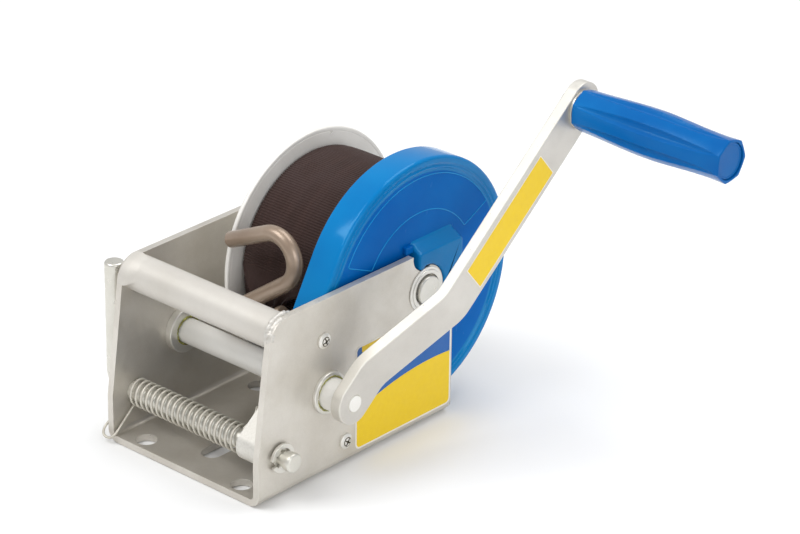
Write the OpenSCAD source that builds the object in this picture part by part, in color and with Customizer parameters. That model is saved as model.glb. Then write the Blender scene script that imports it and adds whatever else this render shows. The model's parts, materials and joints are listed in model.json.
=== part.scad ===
// Hand-cranked boat trailer winch: folded frame, geared strap drum, cranked
// input shaft, sprung pawl with a lever, and an S hook parked on the strap end.
// Millimetres. X runs along the shafts (+X is the crank side), +Y points to the
// drum end, +Z is up. The origin is the centre of the base bolt pattern, on the
// underside of the base.

/* [Frame] */
// Overall width across the two side plates
frame_w = 100; // [96:1:110]
// Length of the base from its front edge to its rear edge
frame_len = 134; // [130:1:150]
// Height of the side plates
frame_h = 92.7; // [90:0.1:96]
// Thickness of the folded sheet
sheet_t = 3.5; // [3:0.1:4]
// Outside radius of the two bends along the base
bend_r = 6; // [5:0.5:8]
// Spacing of the base holes across the winch
bolt_span_x = 63.5; // [60:0.5:66]
// Spacing of the base holes along the winch
bolt_span_y = 76.2; // [74:0.1:78]
// Distance from the front edge of the base to the front holes
hole_edge = 7.5; // [7.5:0.1:9]
// Radius of the four base holes
bolt_hole_r = 5.25; // [4.5:0.05:5.5]
// Radius of the cross tube between the plates
tube_r = 9; // [8:0.1:9.5]

/* [Shafts] */
// Drum axle, distance behind the bolt pattern centre
axle_y = 68.7; // [67:0.1:70]
// Drum axle height above the underside
axle_z = 73.2; // [72:0.1:74]
// Drum axle radius
axle_r = 7.2; // [7:0.1:7.4]
// Input shaft, distance behind the bolt pattern centre
shaft_y = 1.2; // [0.5:0.1:2]
// Input shaft height above the underside
shaft_z = 43.8; // [43:0.1:45]
// Radius of the thin part of the input shaft
shaft_r = 6.25; // [6:0.05:6.5]
// Radius of the thick part of the input shaft, at the crank
shaft_big_r = 7.9; // [7.5:0.1:8.2]
// Radial running clearance of the journals
running_gap = 0.07; // [0.03:0.01:0.1]

/* [Gears] */
// Teeth on the drum gear
gear_teeth = 36; // [36:12:36]
// Teeth on the drive pinion
pinion_teeth = 12; // [12:1:12]
// Pressure angle of the teeth
pressure_angle = 25; // [24:1:26]
// Thinning of each tooth at the pitch circle, for backlash
tooth_thinning = 0.25; // [0.2:0.05:0.4]

/* [Drum] */
// Width of the webbing
webbing_w = 50; // [48:1:50]
// Outer radius of the wound webbing
webbing_r = 49.5; // [45:0.5:49.5]
// Outer radius of the drum tube
drum_tube_r = 16; // [15:0.5:18]
// Outer radius of the left drum flange
flange_r = 59.2; // [58:0.1:60]
// Outer radius of the gear cover
cover_r = 64.6; // [64:0.1:65]
// Depth of the gear cover
cover_depth = 15.7; // [15.5:0.1:15.7]

/* [Crank] */
// Angle of the crank arm above horizontal at rest
crank_angle = 39.5; // [30:0.5:50]
// Distance from the input shaft to the grip spindle
crank_throw = 176; // [170:1:180]
// Width of the crank bar
bar_w = 21; // [20:0.5:22]
// Thickness of the crank bar
bar_t = 6; // [5.5:0.5:6]
// Outward step of the crank bar between its two ends
joggle = 19; // [17:0.5:20]
// Length of the grip
grip_len = 87; // [85:1:90]

/* [Pawl] */
// Pawl rod, distance behind the bolt pattern centre
pawl_y = -31.4; // [-31.8:0.1:-31.2]
// Pawl rod height above the underside
pawl_z = 22.5; // [22:0.1:23]
// Radius of the pawl rod
rod_r = 4.8; // [4.5:0.1:4.9]
// Height of the lever's top end above the underside
lever_top = 87; // [80:1:90]
// Number of coils in the pawl spring
spring_turns = 20; // [18:1:22]
// Diameter of the spring wire
wire_d = 1.3; // [1.2:0.1:1.4]

/* [Hook] */
// Diameter of the hook rod
hook_d = 8; // [7.5:0.1:8]
// Centre-line radius of the hook's open bow
hook_bow_r = 12.7; // [12.5:0.1:13]

/* [Hidden] */
$fn = 64;

steel = [0.80, 0.79, 0.76];
bright_steel = [0.86, 0.86, 0.84];
cover_blue = [0.05, 0.42, 0.74];
grip_blue = [0.10, 0.36, 0.72];
webbing_brown = [0.25, 0.18, 0.17];
decal_yellow = [0.96, 0.82, 0.10];

side_x = frame_w / 2;                      // outer face of each plate
in_x = side_x - sheet_t;                   // inner face of each plate
front_y = -bolt_span_y / 2 - hole_edge;
rear_y = front_y + frame_len;
corner_r = 12;                             // top front corner of the plates
tube_y = -26.4;                            // cross tube axis
tube_z = frame_h - tube_r - 0.5;
lobe_r = 12.2;                             // rounded ear round the axle
notch = [axle_y - 1.3, frame_h - 1.4];     // round notch beside the ear, [y, z]
notch_r = 7.6;
lean_z = 24;                               // the front edge leans back above here
lean_a = 7.8;                              // by this many degrees
axle_bush_r = 8.8;
axle_flange_r = 11.5;
axle_flange_t = 1.2;
axle_end_x = side_x + 2.8;
shaft_bush_r = 9.5;
screw_a = [-2.2, 71.9];                    // cover screws, [y, z]
screw_b = [12.9, 13.4];
screw_r = 2;

flange_x = -23.8;                          // inner face of the left drum flange
flange_t = 2.5;
webbing_x = -22.4;                         // left edge of the webbing
tube_end_x = 28;                           // right end of the drum tube
disc_t = 2;                                // right drum flange
gear_x = tube_end_x + disc_t;              // left face of the drum gear
gear_w = 12;
gear_boss_r = 11;
boss_gap = 0.2;                            // end play against the plates
cover_front_x = 45;                        // outer face of the gear cover
cover_back_x = cover_front_x - cover_depth;
cover_t = 2;
cover_tangent = 151;                       // where the straight front edge leaves the round one
cover_edge_len = 43.8;                     // length of the straight front edge
cover_edge = [for (d = [0, cover_edge_len]) [axle_y, axle_z]
    + polar(cover_r, cover_tangent) + polar(d, cover_tangent + 90)];

centre_d = norm([axle_y - shaft_y, axle_z - shaft_z]);
centre_a = atan2(axle_z - shaft_z, axle_y - shaft_y);
module_mm = 2 * centre_d / (gear_teeth + pinion_teeth);
pinion_tip_r = module_mm * (pinion_teeth / 2 + 1);
pinion_x0 = gear_x + 0.3;
pinion_x1 = gear_x + gear_w + 0.6;

arm_x = 61;                                // inner face of the crank bar at the shaft
bow_s0 = 17;                               // the joggle's two bends, along the bar
bow_s1 = 62;
arm_out_x = arm_x + bar_t + joggle;        // outer face of the bar at the grip
arm_end_s = crank_throw + 3;
spindle_r = 5;
washer_t = 1.2;
grip_x = arm_out_x + washer_t + 0.2;
nut_x = grip_x + grip_len - 6.5;           // floor of the grip's end recess
cap_r = 9;
tenon_r = 4;

lever_x = -58.3;
lever_bend_r = 7.5;
clip_x = 51;
clip_t = 1.6;
clip_r = 7.3;
clip_in_r = 5;
clip_gap_a = 190;                          // direction in which the clip opens
groove_r = 3.8;
neck_end_x = clip_x + 5.2;                 // the rod is full size again from here
decal_t = 0.15;
pawl_x0 = 29.5;
pawl_x1 = 42.3;
pawl_hub_r = 8;
spring_x0 = -45;
spring_x1 = 27.2;
coil_r = 6.4;                              // centre line of the coils

hook_r = hook_d / 2;
hook_y = 9.2;                              // plane of the hook at hook_z
hook_z = 96;
hook_lean = 2;                             // lean towards the drum
bow_c = [8.2, 95.8];                       // centre of the open bow, [x, z]
tip_a = 24.7;                              // slope of the open leg
shank_a = 36;                              // slope of the shank and the eye's leg
tip_len = 27;
shank_len = 32.8;
eye_r = 5.9;                               // centre line of the eye's bend
eye_leg = 23;
eye_start = bow_c + hook_bow_r * [sin(shank_a), -cos(shank_a)]
    - polar(shank_len, shank_a);
eye_c = eye_start + eye_r * [sin(shank_a), -cos(shank_a)];
leg_start = eye_c + eye_r * [sin(shank_a), -cos(shank_a)];
tail_r = 49.9;                             // inside of the strap's loose last wrap
tail_t = 1.4;

// --- helpers -------------------------------------------------------------

function polar(r, a) = [r * cos(a), r * sin(a)];

// Points of an arc about c from angle a0 to a1
function arc(c, r, a0, a1, steps) =
    [for (k = [0:steps]) c + polar(r, a0 + (a1 - a0) * k / steps)];

// Extrude a [y, z] outline along X from x0 to x1
module along_x(x0, x1) {
    translate([x0, 0, 0]) rotate([90, 0, 90]) linear_extrude(x1 - x0) children();
}

// Turn a [radius, x] profile about an axis along X through (y, z)
module turn_x(y, z) {
    translate([0, y, z]) rotate([0, 90, 0]) rotate_extrude() children();
}

// Round bar along X
module bar_x(r, x0, x1, y, z) {
    translate([x0, y, z]) rotate([0, 90, 0]) cylinder(r = r, h = x1 - x0);
}

// Tube along X
module pipe_x(r_out, r_in, x0, x1, y, z) {
    difference() {
        bar_x(r_out, x0, x1, y, z);
        bar_x(r_in, x0 - 1, x1 + 1, y, z);
    }
}

// Round wire swept along path; side is a direction that the path never runs in
function unit(v) = v / norm(v);
function along(path, i) = unit(path[min(i + 1, len(path) - 1)] - path[max(i - 1, 0)]);
function ring(path, i, r, sides, side) =
    let(t = along(path, i), u = unit(cross(t, side)), v = cross(t, u))
    [for (k = [0:sides - 1])
        path[i] + r * (cos(360 * k / sides) * u + sin(360 * k / sides) * v)];
module wire(path, r, sides, side) {
    n = len(path);
    points = [for (i = [0:n - 1]) each ring(path, i, r, sides, side)];
    walls = [for (i = [0:n - 2], k = [0:sides - 1])
        let(a = i * sides + k, b = i * sides + (k + 1) % sides)
        each [[a, b, b + sides], [a, b + sides, a + sides]]];
    caps = [[for (k = [sides - 1:-1:0]) k], [for (k = [0:sides - 1]) (n - 1) * sides + k]];
    polyhedron(points, concat(walls, caps));
}

// Points of one gear tooth, from its left root to its right root
function inv(a) = tan(a) * 180 / PI - a;
function half_tooth(teeth, r_pitch, r) =
    90 / teeth - (tooth_thinning / 2) / r_pitch * 180 / PI / 2 + inv(pressure_angle)
    - inv(acos(min(1, r_pitch * cos(pressure_angle) / r)));
function gear_points(teeth) =
    let(r_pitch = module_mm * teeth / 2,
        r_tip = r_pitch + module_mm,
        r_root = r_pitch - 1.25 * module_mm,
        r_low = max(r_root, r_pitch * cos(pressure_angle)),
        steps = 5)
    [for (i = [0:teeth - 1])
        let(a = i * 360 / teeth, a_low = half_tooth(teeth, r_pitch, r_low))
        each concat(
            [polar(r_root, a - a_low)],
            [for (k = [0:steps])
                let(r = r_low + (r_tip - r_low) * k / steps)
                polar(r, a - half_tooth(teeth, r_pitch, r))],
            [for (k = [steps:-1:0])
                let(r = r_low + (r_tip - r_low) * k / steps)
                polar(r, a + half_tooth(teeth, r_pitch, r))],
            [polar(r_root, a + a_low)])];

// --- frame ---------------------------------------------------------------

// Side plate outline in [y, z]
module plate_outline() {
    corner = [front_y + 19.88, frame_h - corner_r];
    difference() {
        polygon(concat([[front_y, 0], [front_y, lean_z]],
            arc(corner, corner_r, 180 - lean_a, 90, 8), [[notch[0], frame_h]],
            arc([axle_y, axle_z], lobe_r, 95, 0, 10),
            [[axle_y + lobe_r, axle_z - 11], [rear_y, axle_z - 23], [rear_y, 0]]));
        translate(notch) circle(r = notch_r);
    }
}

// Cross-section of the folded channel in [x, z]
module channel_section() {
    in_r = bend_r - sheet_t;
    difference() {
        union() {
            translate([-side_x + bend_r, 0]) square([frame_w - 2 * bend_r, bend_r]);
            translate([-side_x, bend_r]) square([frame_w, frame_h]);
            for (s = [-1, 1]) translate([s * (side_x - bend_r), bend_r]) circle(r = bend_r);
        }
        translate([-in_x + in_r, sheet_t]) square([2 * (in_x - in_r), frame_h + 10]);
        translate([-in_x, bend_r]) square([2 * in_x, frame_h + 10]);
        for (s = [-1, 1]) translate([s * (side_x - bend_r), bend_r]) circle(r = in_r);
    }
}

module frame_channel() {
    slot_r = 5.2;
    color(steel) difference() {
        intersection() {
            translate([0, rear_y, 0]) rotate([90, 0, 0])
                linear_extrude(frame_len) channel_section();
            along_x(-side_x, side_x) plate_outline();
        }
        for (sx = [-1, 1], sy = [-1, 1])
            translate([sx * bolt_span_x / 2, sy * bolt_span_y / 2, -1])
                cylinder(r = bolt_hole_r, h = sheet_t + 2);
        for (y = [front_y + 20, front_y + 34.8])
            translate([0, y, -1]) cylinder(r = slot_r, h = sheet_t + 2);
        translate([-slot_r, front_y + 20, -1]) cube([2 * slot_r, 14.8, sheet_t + 2]);
        bar_x(axle_bush_r, -side_x - 1, side_x + 1, axle_y, axle_z);
        bar_x(shaft_bush_r, -side_x - 1, side_x + 1, shaft_y, shaft_z);
        bar_x(rod_r + running_gap, -side_x - 1, side_x + 1, pawl_y, pawl_z);
        for (p = [screw_a, screw_b]) bar_x(screw_r, in_x - 1, side_x + 1, p[0], p[1]);
    }
}

module cross_tube() {
    tube_wall = 2.6;
    color(steel) pipe_x(tube_r, tube_r - tube_wall, -in_x, in_x, tube_y, tube_z);
}

// Fillet welds where the cross tube meets the plates
module weld_beads() {
    leg = 1.7;
    color(steel) intersection() {
        union() for (s = [-1, 1]) turn_x(tube_y, tube_z)
            polygon([[tube_r, s * in_x], [tube_r + leg, s * in_x],
                [tube_r + 0.75 * leg, s * (in_x - 0.75 * leg)], [tube_r, s * (in_x - leg)]]);
        along_x(-in_x, in_x) plate_outline();
    }
}

// Flanged bush; side is -1 or 1, the flange lies outside the plate
module outer_bush(side, r_sleeve, r_flange, flange, bore, y, z) {
    color(bright_steel) difference() {
        union() {
            bar_x(r_sleeve, min(side * in_x, side * side_x), max(side * in_x, side * side_x), y, z);
            bar_x(r_flange, min(side * side_x, side * (side_x + flange)),
                max(side * side_x, side * (side_x + flange)), y, z);
        }
        bar_x(bore, -side_x - 10, side_x + 10, y, z);
    }
}

module axle_bush_left() {
    outer_bush(-1, axle_bush_r, axle_flange_r, axle_flange_t, axle_r + running_gap,
        axle_y, axle_z);
}

module axle_bush_right() {
    outer_bush(1, axle_bush_r, axle_flange_r, axle_flange_t, axle_r + running_gap,
        axle_y, axle_z);
}

module input_bush_right() {
    flange_r = 10.6;
    flange_t = 2;
    outer_bush(1, shaft_bush_r, flange_r, flange_t, shaft_big_r + running_gap, shaft_y, shaft_z);
}

// Its flange lies inside the plate, as a thrust face for the shaft
module input_bush_left() {
    flange_r = 11.5;
    flange_t = 4;
    color(bright_steel) difference() {
        union() {
            bar_x(shaft_bush_r, -side_x, -in_x, shaft_y, shaft_z);
            bar_x(flange_r, -in_x, -in_x + flange_t, shaft_y, shaft_z);
        }
        bar_x(shaft_r + running_gap, -side_x - 1, 0, shaft_y, shaft_z);
    }
}

// --- gear cover ----------------------------------------------------------

// Cover outline in [y, z]: the disc, its straight front edge and the web that
// reaches the two screws behind the right plate
module cover_outline() {
    translate([axle_y, axle_z]) circle(r = cover_r);
    polygon(concat([[axle_y, axle_z]], cover_edge,
        [[-22, 50], [-16, 22], [4, 7.5], [20, 7.5], [42, 14.7]]));
}

module gear_cover() {
    edge_r = 4;                            // rounded outer edge
    boss_r = 4;
    boss_x = 36;
    shaft_hole_r = 12;
    open_end = 224;                        // the rim is open for the pinion up to this angle
    reach = 1.7 * cover_r;
    color(cover_blue) difference() {
        union() {
            difference() {
                turn_x(axle_y, axle_z) difference() {
                    union() {
                        translate([0, cover_back_x]) square([cover_r, cover_depth - edge_r]);
                        translate([0, cover_front_x - edge_r])
                            square([cover_r - edge_r, edge_r]);
                        translate([cover_r - edge_r, cover_front_x - edge_r])
                            circle(r = edge_r);
                    }
                    translate([-1, cover_back_x - 1])
                        square([cover_r - cover_t + 1, cover_depth + 1 - cover_t]);
                }
                along_x(cover_back_x - 1, cover_front_x - cover_t)
                    translate([axle_y, axle_z])
                    polygon([[0, 0], polar(reach, cover_tangent),
                        polar(reach, (cover_tangent + open_end) / 2), polar(reach, open_end)]);
            }
            along_x(cover_front_x - cover_t, cover_front_x) cover_outline();
            // straight rim along the front edge
            along_x(cover_back_x, cover_front_x - cover_t)
                polygon([cover_edge[0], cover_edge[1], cover_edge[1] - polar(cover_t, cover_tangent),
                    cover_edge[0] - polar(cover_t, cover_tangent)]);
            for (p = [screw_a, screw_b]) bar_x(boss_r, boss_x, in_x, p[0], p[1]);
            cover_clip();
        }
        bar_x(gear_boss_r + 0.5, 0, in_x, axle_y, axle_z);
        bar_x(shaft_hole_r, 0, side_x, shaft_y, shaft_z);
        for (p = [screw_a, screw_b]) bar_x(screw_r, boss_x - 1, side_x, p[0], p[1]);
    }
}

// Moulded clip on the cover that sits over the notch of the right plate
module cover_clip() {
    clip_y = [axle_y - 5.2, axle_y + 25.7];
    clip_z = [69, 96.3];
    out_x = side_x + 0.8;
    gap = 0.3;
    difference() {
        translate([0, clip_y[1], 0]) rotate([90, 0, 0])
            linear_extrude(clip_y[1] - clip_y[0])
            polygon([[cover_front_x - 1, clip_z[0]], [out_x, clip_z[0]],
                [out_x, clip_z[1] - 3.8], [cover_front_x - 1, clip_z[1]]]);
        along_x(in_x - gap, side_x + 5) {
            translate([axle_y, axle_z]) circle(r = lobe_r + gap);
            polygon([[axle_y - 30, 60], [axle_y - 30, frame_h + gap],
                [notch[0], frame_h + gap], [notch[0], axle_z],
                [axle_y + lobe_r + gap, axle_z], [axle_y + lobe_r + gap, 60]]);
        }
    }
    // lower lip that fills the round notch of the plate
    along_x(cover_front_x - 1, out_x) intersection() {
        translate(notch) circle(r = notch_r - gap);
        difference() {
            translate([clip_y[0], axle_z]) square([12, frame_h - axle_z]);
            translate([axle_y, axle_z]) circle(r = lobe_r + gap);
        }
    }
}

module cover_screws() {
    head_r = 3.8;
    head_h = 2.2;
    dome_r = 7.2;
    shank_x = 38;
    recess = [3.6, 0.8];                   // length and width of each arm of the cross
    color(bright_steel) for (p = [screw_a, screw_b]) {
        bar_x(screw_r, shank_x, side_x, p[0], p[1]);
        difference() {
            turn_x(p[0], p[1]) intersection() {
                translate([0, side_x]) square([head_r, head_h]);
                translate([0, side_x + head_h - dome_r]) circle(r = dome_r);
            }
            for (a = [20, 110]) translate([side_x + 1.2, p[0], p[1]]) rotate([a, 0, 0])
                translate([0, -recess[0] / 2, -recess[1] / 2])
                cube([head_h, recess[0], recess[1]]);
        }
    }
}

// Decal on the right plate
module frame_decal() {
    low = [front_y + 65.7, 5.2];
    high = [front_y + 133.2, 59.8];
    r = 3;
    color(decal_yellow) intersection() {
        along_x(side_x, side_x + decal_t) {
            translate(low + [r, 0]) square(high - low - [2 * r, 0]);
            translate(low + [0, r]) square(high - low - [0, 2 * r]);
            for (y = [low[0] + r, high[0] - r], z = [low[1] + r, high[1] - r])
                translate([y, z]) circle(r = r);
        }
        along_x(side_x, side_x + 1) translate([-0.8, 0]) plate_outline();
    }
}

// --- drum ----------------------------------------------------------------

module drum_axle() {
    color(bright_steel) bar_x(axle_r, -axle_end_x, axle_end_x, axle_y, axle_z);
}

module drum_tube() {
    wall = 2.5;
    color(steel) pipe_x(drum_tube_r, drum_tube_r - wall, flange_x, tube_end_x, axle_y, axle_z);
}

// Pin inside the drum tube that anchors the inner end of the strap
module strap_pin() {
    color(bright_steel) bar_x(2.6, flange_x, tube_end_x, axle_y, axle_z + 10.4);
}

module drum_spacer() {
    color(steel) pipe_x(13, axle_r, -in_x + boss_gap, flange_x - flange_t, axle_y, axle_z);
}

// Disc with a rounded rim
module left_flange() {
    edge_r = flange_t / 2;
    back_x = flange_x - flange_t;
    color(steel) turn_x(axle_y, axle_z) {
        translate([axle_r, back_x]) square([flange_r - edge_r - axle_r, flange_t]);
        intersection() {
            translate([flange_r - edge_r, back_x + edge_r]) circle(r = edge_r);
            translate([flange_r - edge_r, back_x]) square([edge_r, flange_t]);
        }
    }
}

module right_flange() {
    color(steel) difference() {
        pipe_x(57, axle_r, tube_end_x, tube_end_x + disc_t, axle_y, axle_z);
        rivet_holes();
    }
}

rivet_r = 3;
rivet_circle_r = 38;
module rivet_places() {
    for (a = [0:90:270]) translate([0, axle_y, axle_z]) rotate([a + 45, 0, 0])
        translate([0, rivet_circle_r, 0]) children();
}

module rivet_holes() {
    rivet_places() bar_x(rivet_r, tube_end_x - 1, gear_x + gear_w + 1, 0, 0);
}

module drum_gear() {
    color(steel) difference() {
        union() {
            // a gap between teeth faces the input shaft
            along_x(gear_x, gear_x + gear_w) translate([axle_y, axle_z])
                rotate(centre_a + 180 + 180 / gear_teeth) polygon(gear_points(gear_teeth));
            bar_x(gear_boss_r, gear_x + gear_w, in_x - boss_gap, axle_y, axle_z);
        }
        bar_x(axle_r, gear_x - 1, side_x, axle_y, axle_z);
        rivet_holes();
    }
}

module gear_rivets() {
    head_r = 5;
    head_h = 0.7;
    color(bright_steel) rivet_places() {
        bar_x(rivet_r, tube_end_x, gear_x + gear_w, 0, 0);
        bar_x(head_r, gear_x + gear_w, gear_x + gear_w + head_h, 0, 0);
    }
}

module webbing_roll() {
    color(webbing_brown)
        pipe_x(webbing_r, drum_tube_r, webbing_x, webbing_x + webbing_w, axle_y, axle_z);
}

// --- input shaft and crank -----------------------------------------------

pin_x = 25;                                // pinion collar pin
pin_r = 2;
pin_len = 22;
module pinion_pin_bar(len) {
    translate([pin_x, shaft_y, shaft_z]) cylinder(r = pin_r, h = len, center = true);
}

module input_shaft() {
    step_x = 18;
    end_x = -side_x - 0.9;
    color(bright_steel) difference() {
        union() {
            bar_x(shaft_r, end_x, step_x, shaft_y, shaft_z);
            bar_x(shaft_big_r, step_x, arm_x, shaft_y, shaft_z);
            bar_x(tenon_r, arm_x, arm_x + bar_t + 0.4, shaft_y, shaft_z);
        }
        pinion_pin_bar(2 * pin_len);
    }
}

module drive_pinion() {
    collar_r = 11.5;
    color(steel) difference() {
        union() {
            along_x(pinion_x0, pinion_x1) translate([shaft_y, shaft_z])
                rotate(centre_a) polygon(gear_points(pinion_teeth));
            bar_x(collar_r, 20, pinion_x0, shaft_y, shaft_z);
        }
        bar_x(shaft_big_r, 10, side_x, shaft_y, shaft_z);
        pinion_pin_bar(2 * pin_len);
    }
}

module pinion_pin() {
    color(bright_steel) pinion_pin_bar(pin_len);
}

// Places children in the crank's own frame: X as is, Y along the bar
module on_crank() {
    translate([0, shaft_y, shaft_z]) rotate([crank_angle, 0, 0]) children();
}

// One face of the joggled bar as [x, s] points; side is -1 for the inner face
// and 1 for the outer face
function bar_face(side) =
    let(slope = atan2(joggle, bow_s1 - bow_s0), bend = 20, h = side * bar_t / 2,
        mid_x = arm_x + bar_t / 2, run = bend * tan(slope / 2), spare = 20, steps = 10)
    concat([[mid_x + h, -spare]],
        [for (k = [0:steps]) let(a = slope * k / steps)
            [mid_x + bend - (bend - h) * cos(a), bow_s0 - run + (bend - h) * sin(a)]],
        [for (k = [steps:-1:0]) let(a = slope * k / steps)
            [mid_x + joggle - bend + (bend + h) * cos(a), bow_s1 + run - (bend + h) * sin(a)]],
        [[mid_x + joggle + h, arm_end_s + spare]]);
function reversed(v) = [for (i = [len(v) - 1:-1:0]) v[i]];

module crank_arm() {
    color(steel) on_crank() difference() {
        intersection() {
            translate([0, 0, -bar_w / 2]) linear_extrude(bar_w)
                polygon(concat(bar_face(1), reversed(bar_face(-1))));
            along_x(arm_x - 1, arm_out_x + 1) {
                circle(r = bar_w / 2);
                translate([arm_end_s, 0]) circle(r = bar_w / 2);
                translate([0, -bar_w / 2]) square([arm_end_s, bar_w]);
            }
        }
        bar_x(tenon_r, arm_x - 1, arm_x + bar_t + 1, 0, 0);
        bar_x(spindle_r, arm_x, arm_out_x + 1, crank_throw, 0);
    }
}

// Decal strip on the outer face of the bar
module crank_decal() {
    low = [77.5, -8];
    high = [144, 7.5];
    color(decal_yellow) on_crank() along_x(arm_out_x, arm_out_x + decal_t)
        translate(low) square(high - low);
}

module grip_spindle() {
    head_r = 7.5;
    head_h = 2.5;
    color(bright_steel) on_crank() {
        bar_x(spindle_r, arm_out_x - bar_t, nut_x + 3, crank_throw, 0);
        bar_x(head_r, arm_out_x - bar_t - head_h, arm_out_x - bar_t, crank_throw, 0);
    }
}

module grip_washer() {
    color(bright_steel) on_crank()
        pipe_x(9.5, spindle_r, arm_out_x, arm_out_x + washer_t, crank_throw, 0);
}

// Push-on nut that keeps the grip on its spindle
module spindle_nut() {
    color(bright_steel) on_crank()
        pipe_x(7.8, spindle_r, nut_x + 0.4, nut_x + 2, crank_throw, 0);
}

// Barrel-shaped grip; its outside is a stack of straight cones
module grip_sleeve() {
    shape = [[0, 10.6], [0.02, 11.1], [0.14, 11.5], [0.3, 12.1], [0.5, 12.6], [0.56, 12.6],
        [0.72, 12.0], [0.9, 11.0], [0.96, 11.2], [0.985, 11.3], [1, 10.9]];
    color(grip_blue) on_crank() difference() {
        turn_x(crank_throw, 0)
            polygon(concat([[0, grip_x]], [for (p = shape) [p[1], grip_x + p[0] * grip_len]],
                [[0, grip_x + grip_len]]));
        bar_x(spindle_r + running_gap, grip_x - 1, nut_x + 1, crank_throw, 0);
        bar_x(cap_r, nut_x, grip_x + grip_len + 1, crank_throw, 0);
    }
}

module grip_cap() {
    color(grip_blue) on_crank()
        bar_x(cap_r, grip_x + grip_len - 2.8, grip_x + grip_len - 1, crank_throw, 0);
}

// --- pawl ----------------------------------------------------------------

// Rod through both plates, bent up into the release lever at its left end
module pawl_rod() {
    end_x = 60;
    color(bright_steel) difference() {
        union() {
            bar_x(rod_r, lever_x + lever_bend_r, end_x, pawl_y, pawl_z);
            translate([lever_x + lever_bend_r, pawl_y, pawl_z + lever_bend_r])
                rotate([90, 0, 0]) rotate([0, 0, 180])
                rotate_extrude(angle = 90) translate([lever_bend_r, 0]) circle(r = rod_r);
            translate([lever_x, pawl_y, pawl_z + lever_bend_r])
                cylinder(r = rod_r, h = lever_top - pawl_z - lever_bend_r);
        }
        // groove for the clip, with a tapered outer side
        turn_x(pawl_y, pawl_z) polygon([[groove_r, clip_x], [rod_r + 1, clip_x],
            [rod_r + 1, neck_end_x], [rod_r, neck_end_x], [groove_r, clip_x + clip_t]]);
        pawl_pin_bar(1);
    }
}

module pawl_pin_bar(extra) {
    translate([(pawl_x0 + pawl_x1) / 2, pawl_y, pawl_z]) rotate([-30, 0, 0])
        cylinder(r = 1.5, h = 2 * pawl_hub_r - 1 + 2 * extra, center = true);
}

module pawl_pin() {
    color(bright_steel) pawl_pin_bar(0);
}

// The pawl's nose stands just clear of the pinion's tooth tips
module pawl() {
    color(steel) difference() {
        along_x(pawl_x0, pawl_x1) translate([pawl_y, pawl_z]) difference() {
            polygon(concat(arc([0, 0], pawl_hub_r, 131, 325, 16), [[12.2, 12.4], [10.6, 18.2]]));
            circle(r = rod_r);
        }
        pawl_pin_bar(4);
    }
}

// Open ring with three prongs that reach into the rod's groove
module e_clip() {
    gap_w = 3.6;
    prong_w = 2.8;
    color(bright_steel) difference() {
        union() {
            pipe_x(clip_r, clip_in_r, clip_x, clip_x + clip_t, pawl_y, pawl_z);
            for (a = [60, 180, 300]) translate([clip_x, pawl_y, pawl_z])
                rotate([clip_gap_a + a, 0, 0]) translate([0, groove_r - 0.5, -prong_w / 2])
                cube([clip_t, clip_in_r - groove_r + 1.2, prong_w]);
        }
        bar_x(groove_r, clip_x - 1, clip_x + clip_t + 1, pawl_y, pawl_z);
        translate([clip_x - 1, pawl_y, pawl_z]) rotate([clip_gap_a, 0, 0])
            translate([0, 0, -gap_w / 2]) cube([clip_t + 2, clip_r + 1, gap_w]);
    }
}

// Centre line of the spring wire: a leg round the left plate's front edge, the
// coils round the rod, and a short leg over the pawl
spring_sides = 6;
spring_rings = 14;                         // rings in each turn
coil_a0 = 262;
coil_a1 = 95 + 360 * (spring_turns + 1);
function coil_point(a) =
    let(f = (a - coil_a0) / (coil_a1 - coil_a0))
    [spring_x0 + (spring_x1 - spring_x0) * f,
        pawl_y + coil_r * cos(a), pawl_z + coil_r * sin(a)];
spring_path = concat(
    [[-51.6, front_y + 3.5, 9], [-51.8, front_y - 0.5, 6.4], [-51, front_y - 2.4, 3.6],
     [-48.3, front_y - 2.6, 2.6], [-46, front_y - 1.8, 3.2], [-45, front_y + 0.6, 5.2],
     [-45, front_y + 5.4, 9.5]],
    [for (i = [0:(coil_a1 - coil_a0) * spring_rings / 360])
        coil_point(coil_a0 + i * 360 / spring_rings)],
    [[spring_x1 + 0.6, pawl_y + 5.4, pawl_z + 9.6],
     [spring_x1 + 0.9, pawl_y + 7.8, pawl_z + 15.2]]);
module pawl_spring() {
    color(bright_steel) wire(spring_path, wire_d / 2, spring_sides, [1, 0, 0]);
}

// --- hook and strap end --------------------------------------------------

// Places children drawn in the hook's plane: x along X, y up, z towards the front
module on_hook_plane() {
    translate([0, hook_y, hook_z]) rotate([90 - hook_lean, 0, 0])
        translate([0, -hook_z, 0]) children();
}

// Round rod from a to b in the hook's plane
module hook_rod(a, b, r) {
    d = b - a;
    translate([a[0], a[1], 0]) rotate([0, 0, atan2(d[1], d[0])]) rotate([0, 90, 0])
        cylinder(r = r, h = norm(d));
}

// One rod: the open leg, the bow, the shank, the eye's bend and the eye's leg
module s_hook() {
    sides = 20;
    bow = arc(bow_c, hook_bow_r, 90 + tip_a, shank_a - 90, 22);
    eye = arc(eye_c, eye_r, 90 + shank_a, 270 + shank_a, 16);
    path = concat([bow[0] - polar(tip_len, tip_a)], bow, eye, [leg_start + polar(eye_leg, shank_a)]);
    color([0.55, 0.50, 0.46]) on_hook_plane()
        wire([for (p = path) [p[0], p[1], 0]], hook_r, sides, [0, 0, 1]);
}

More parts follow.
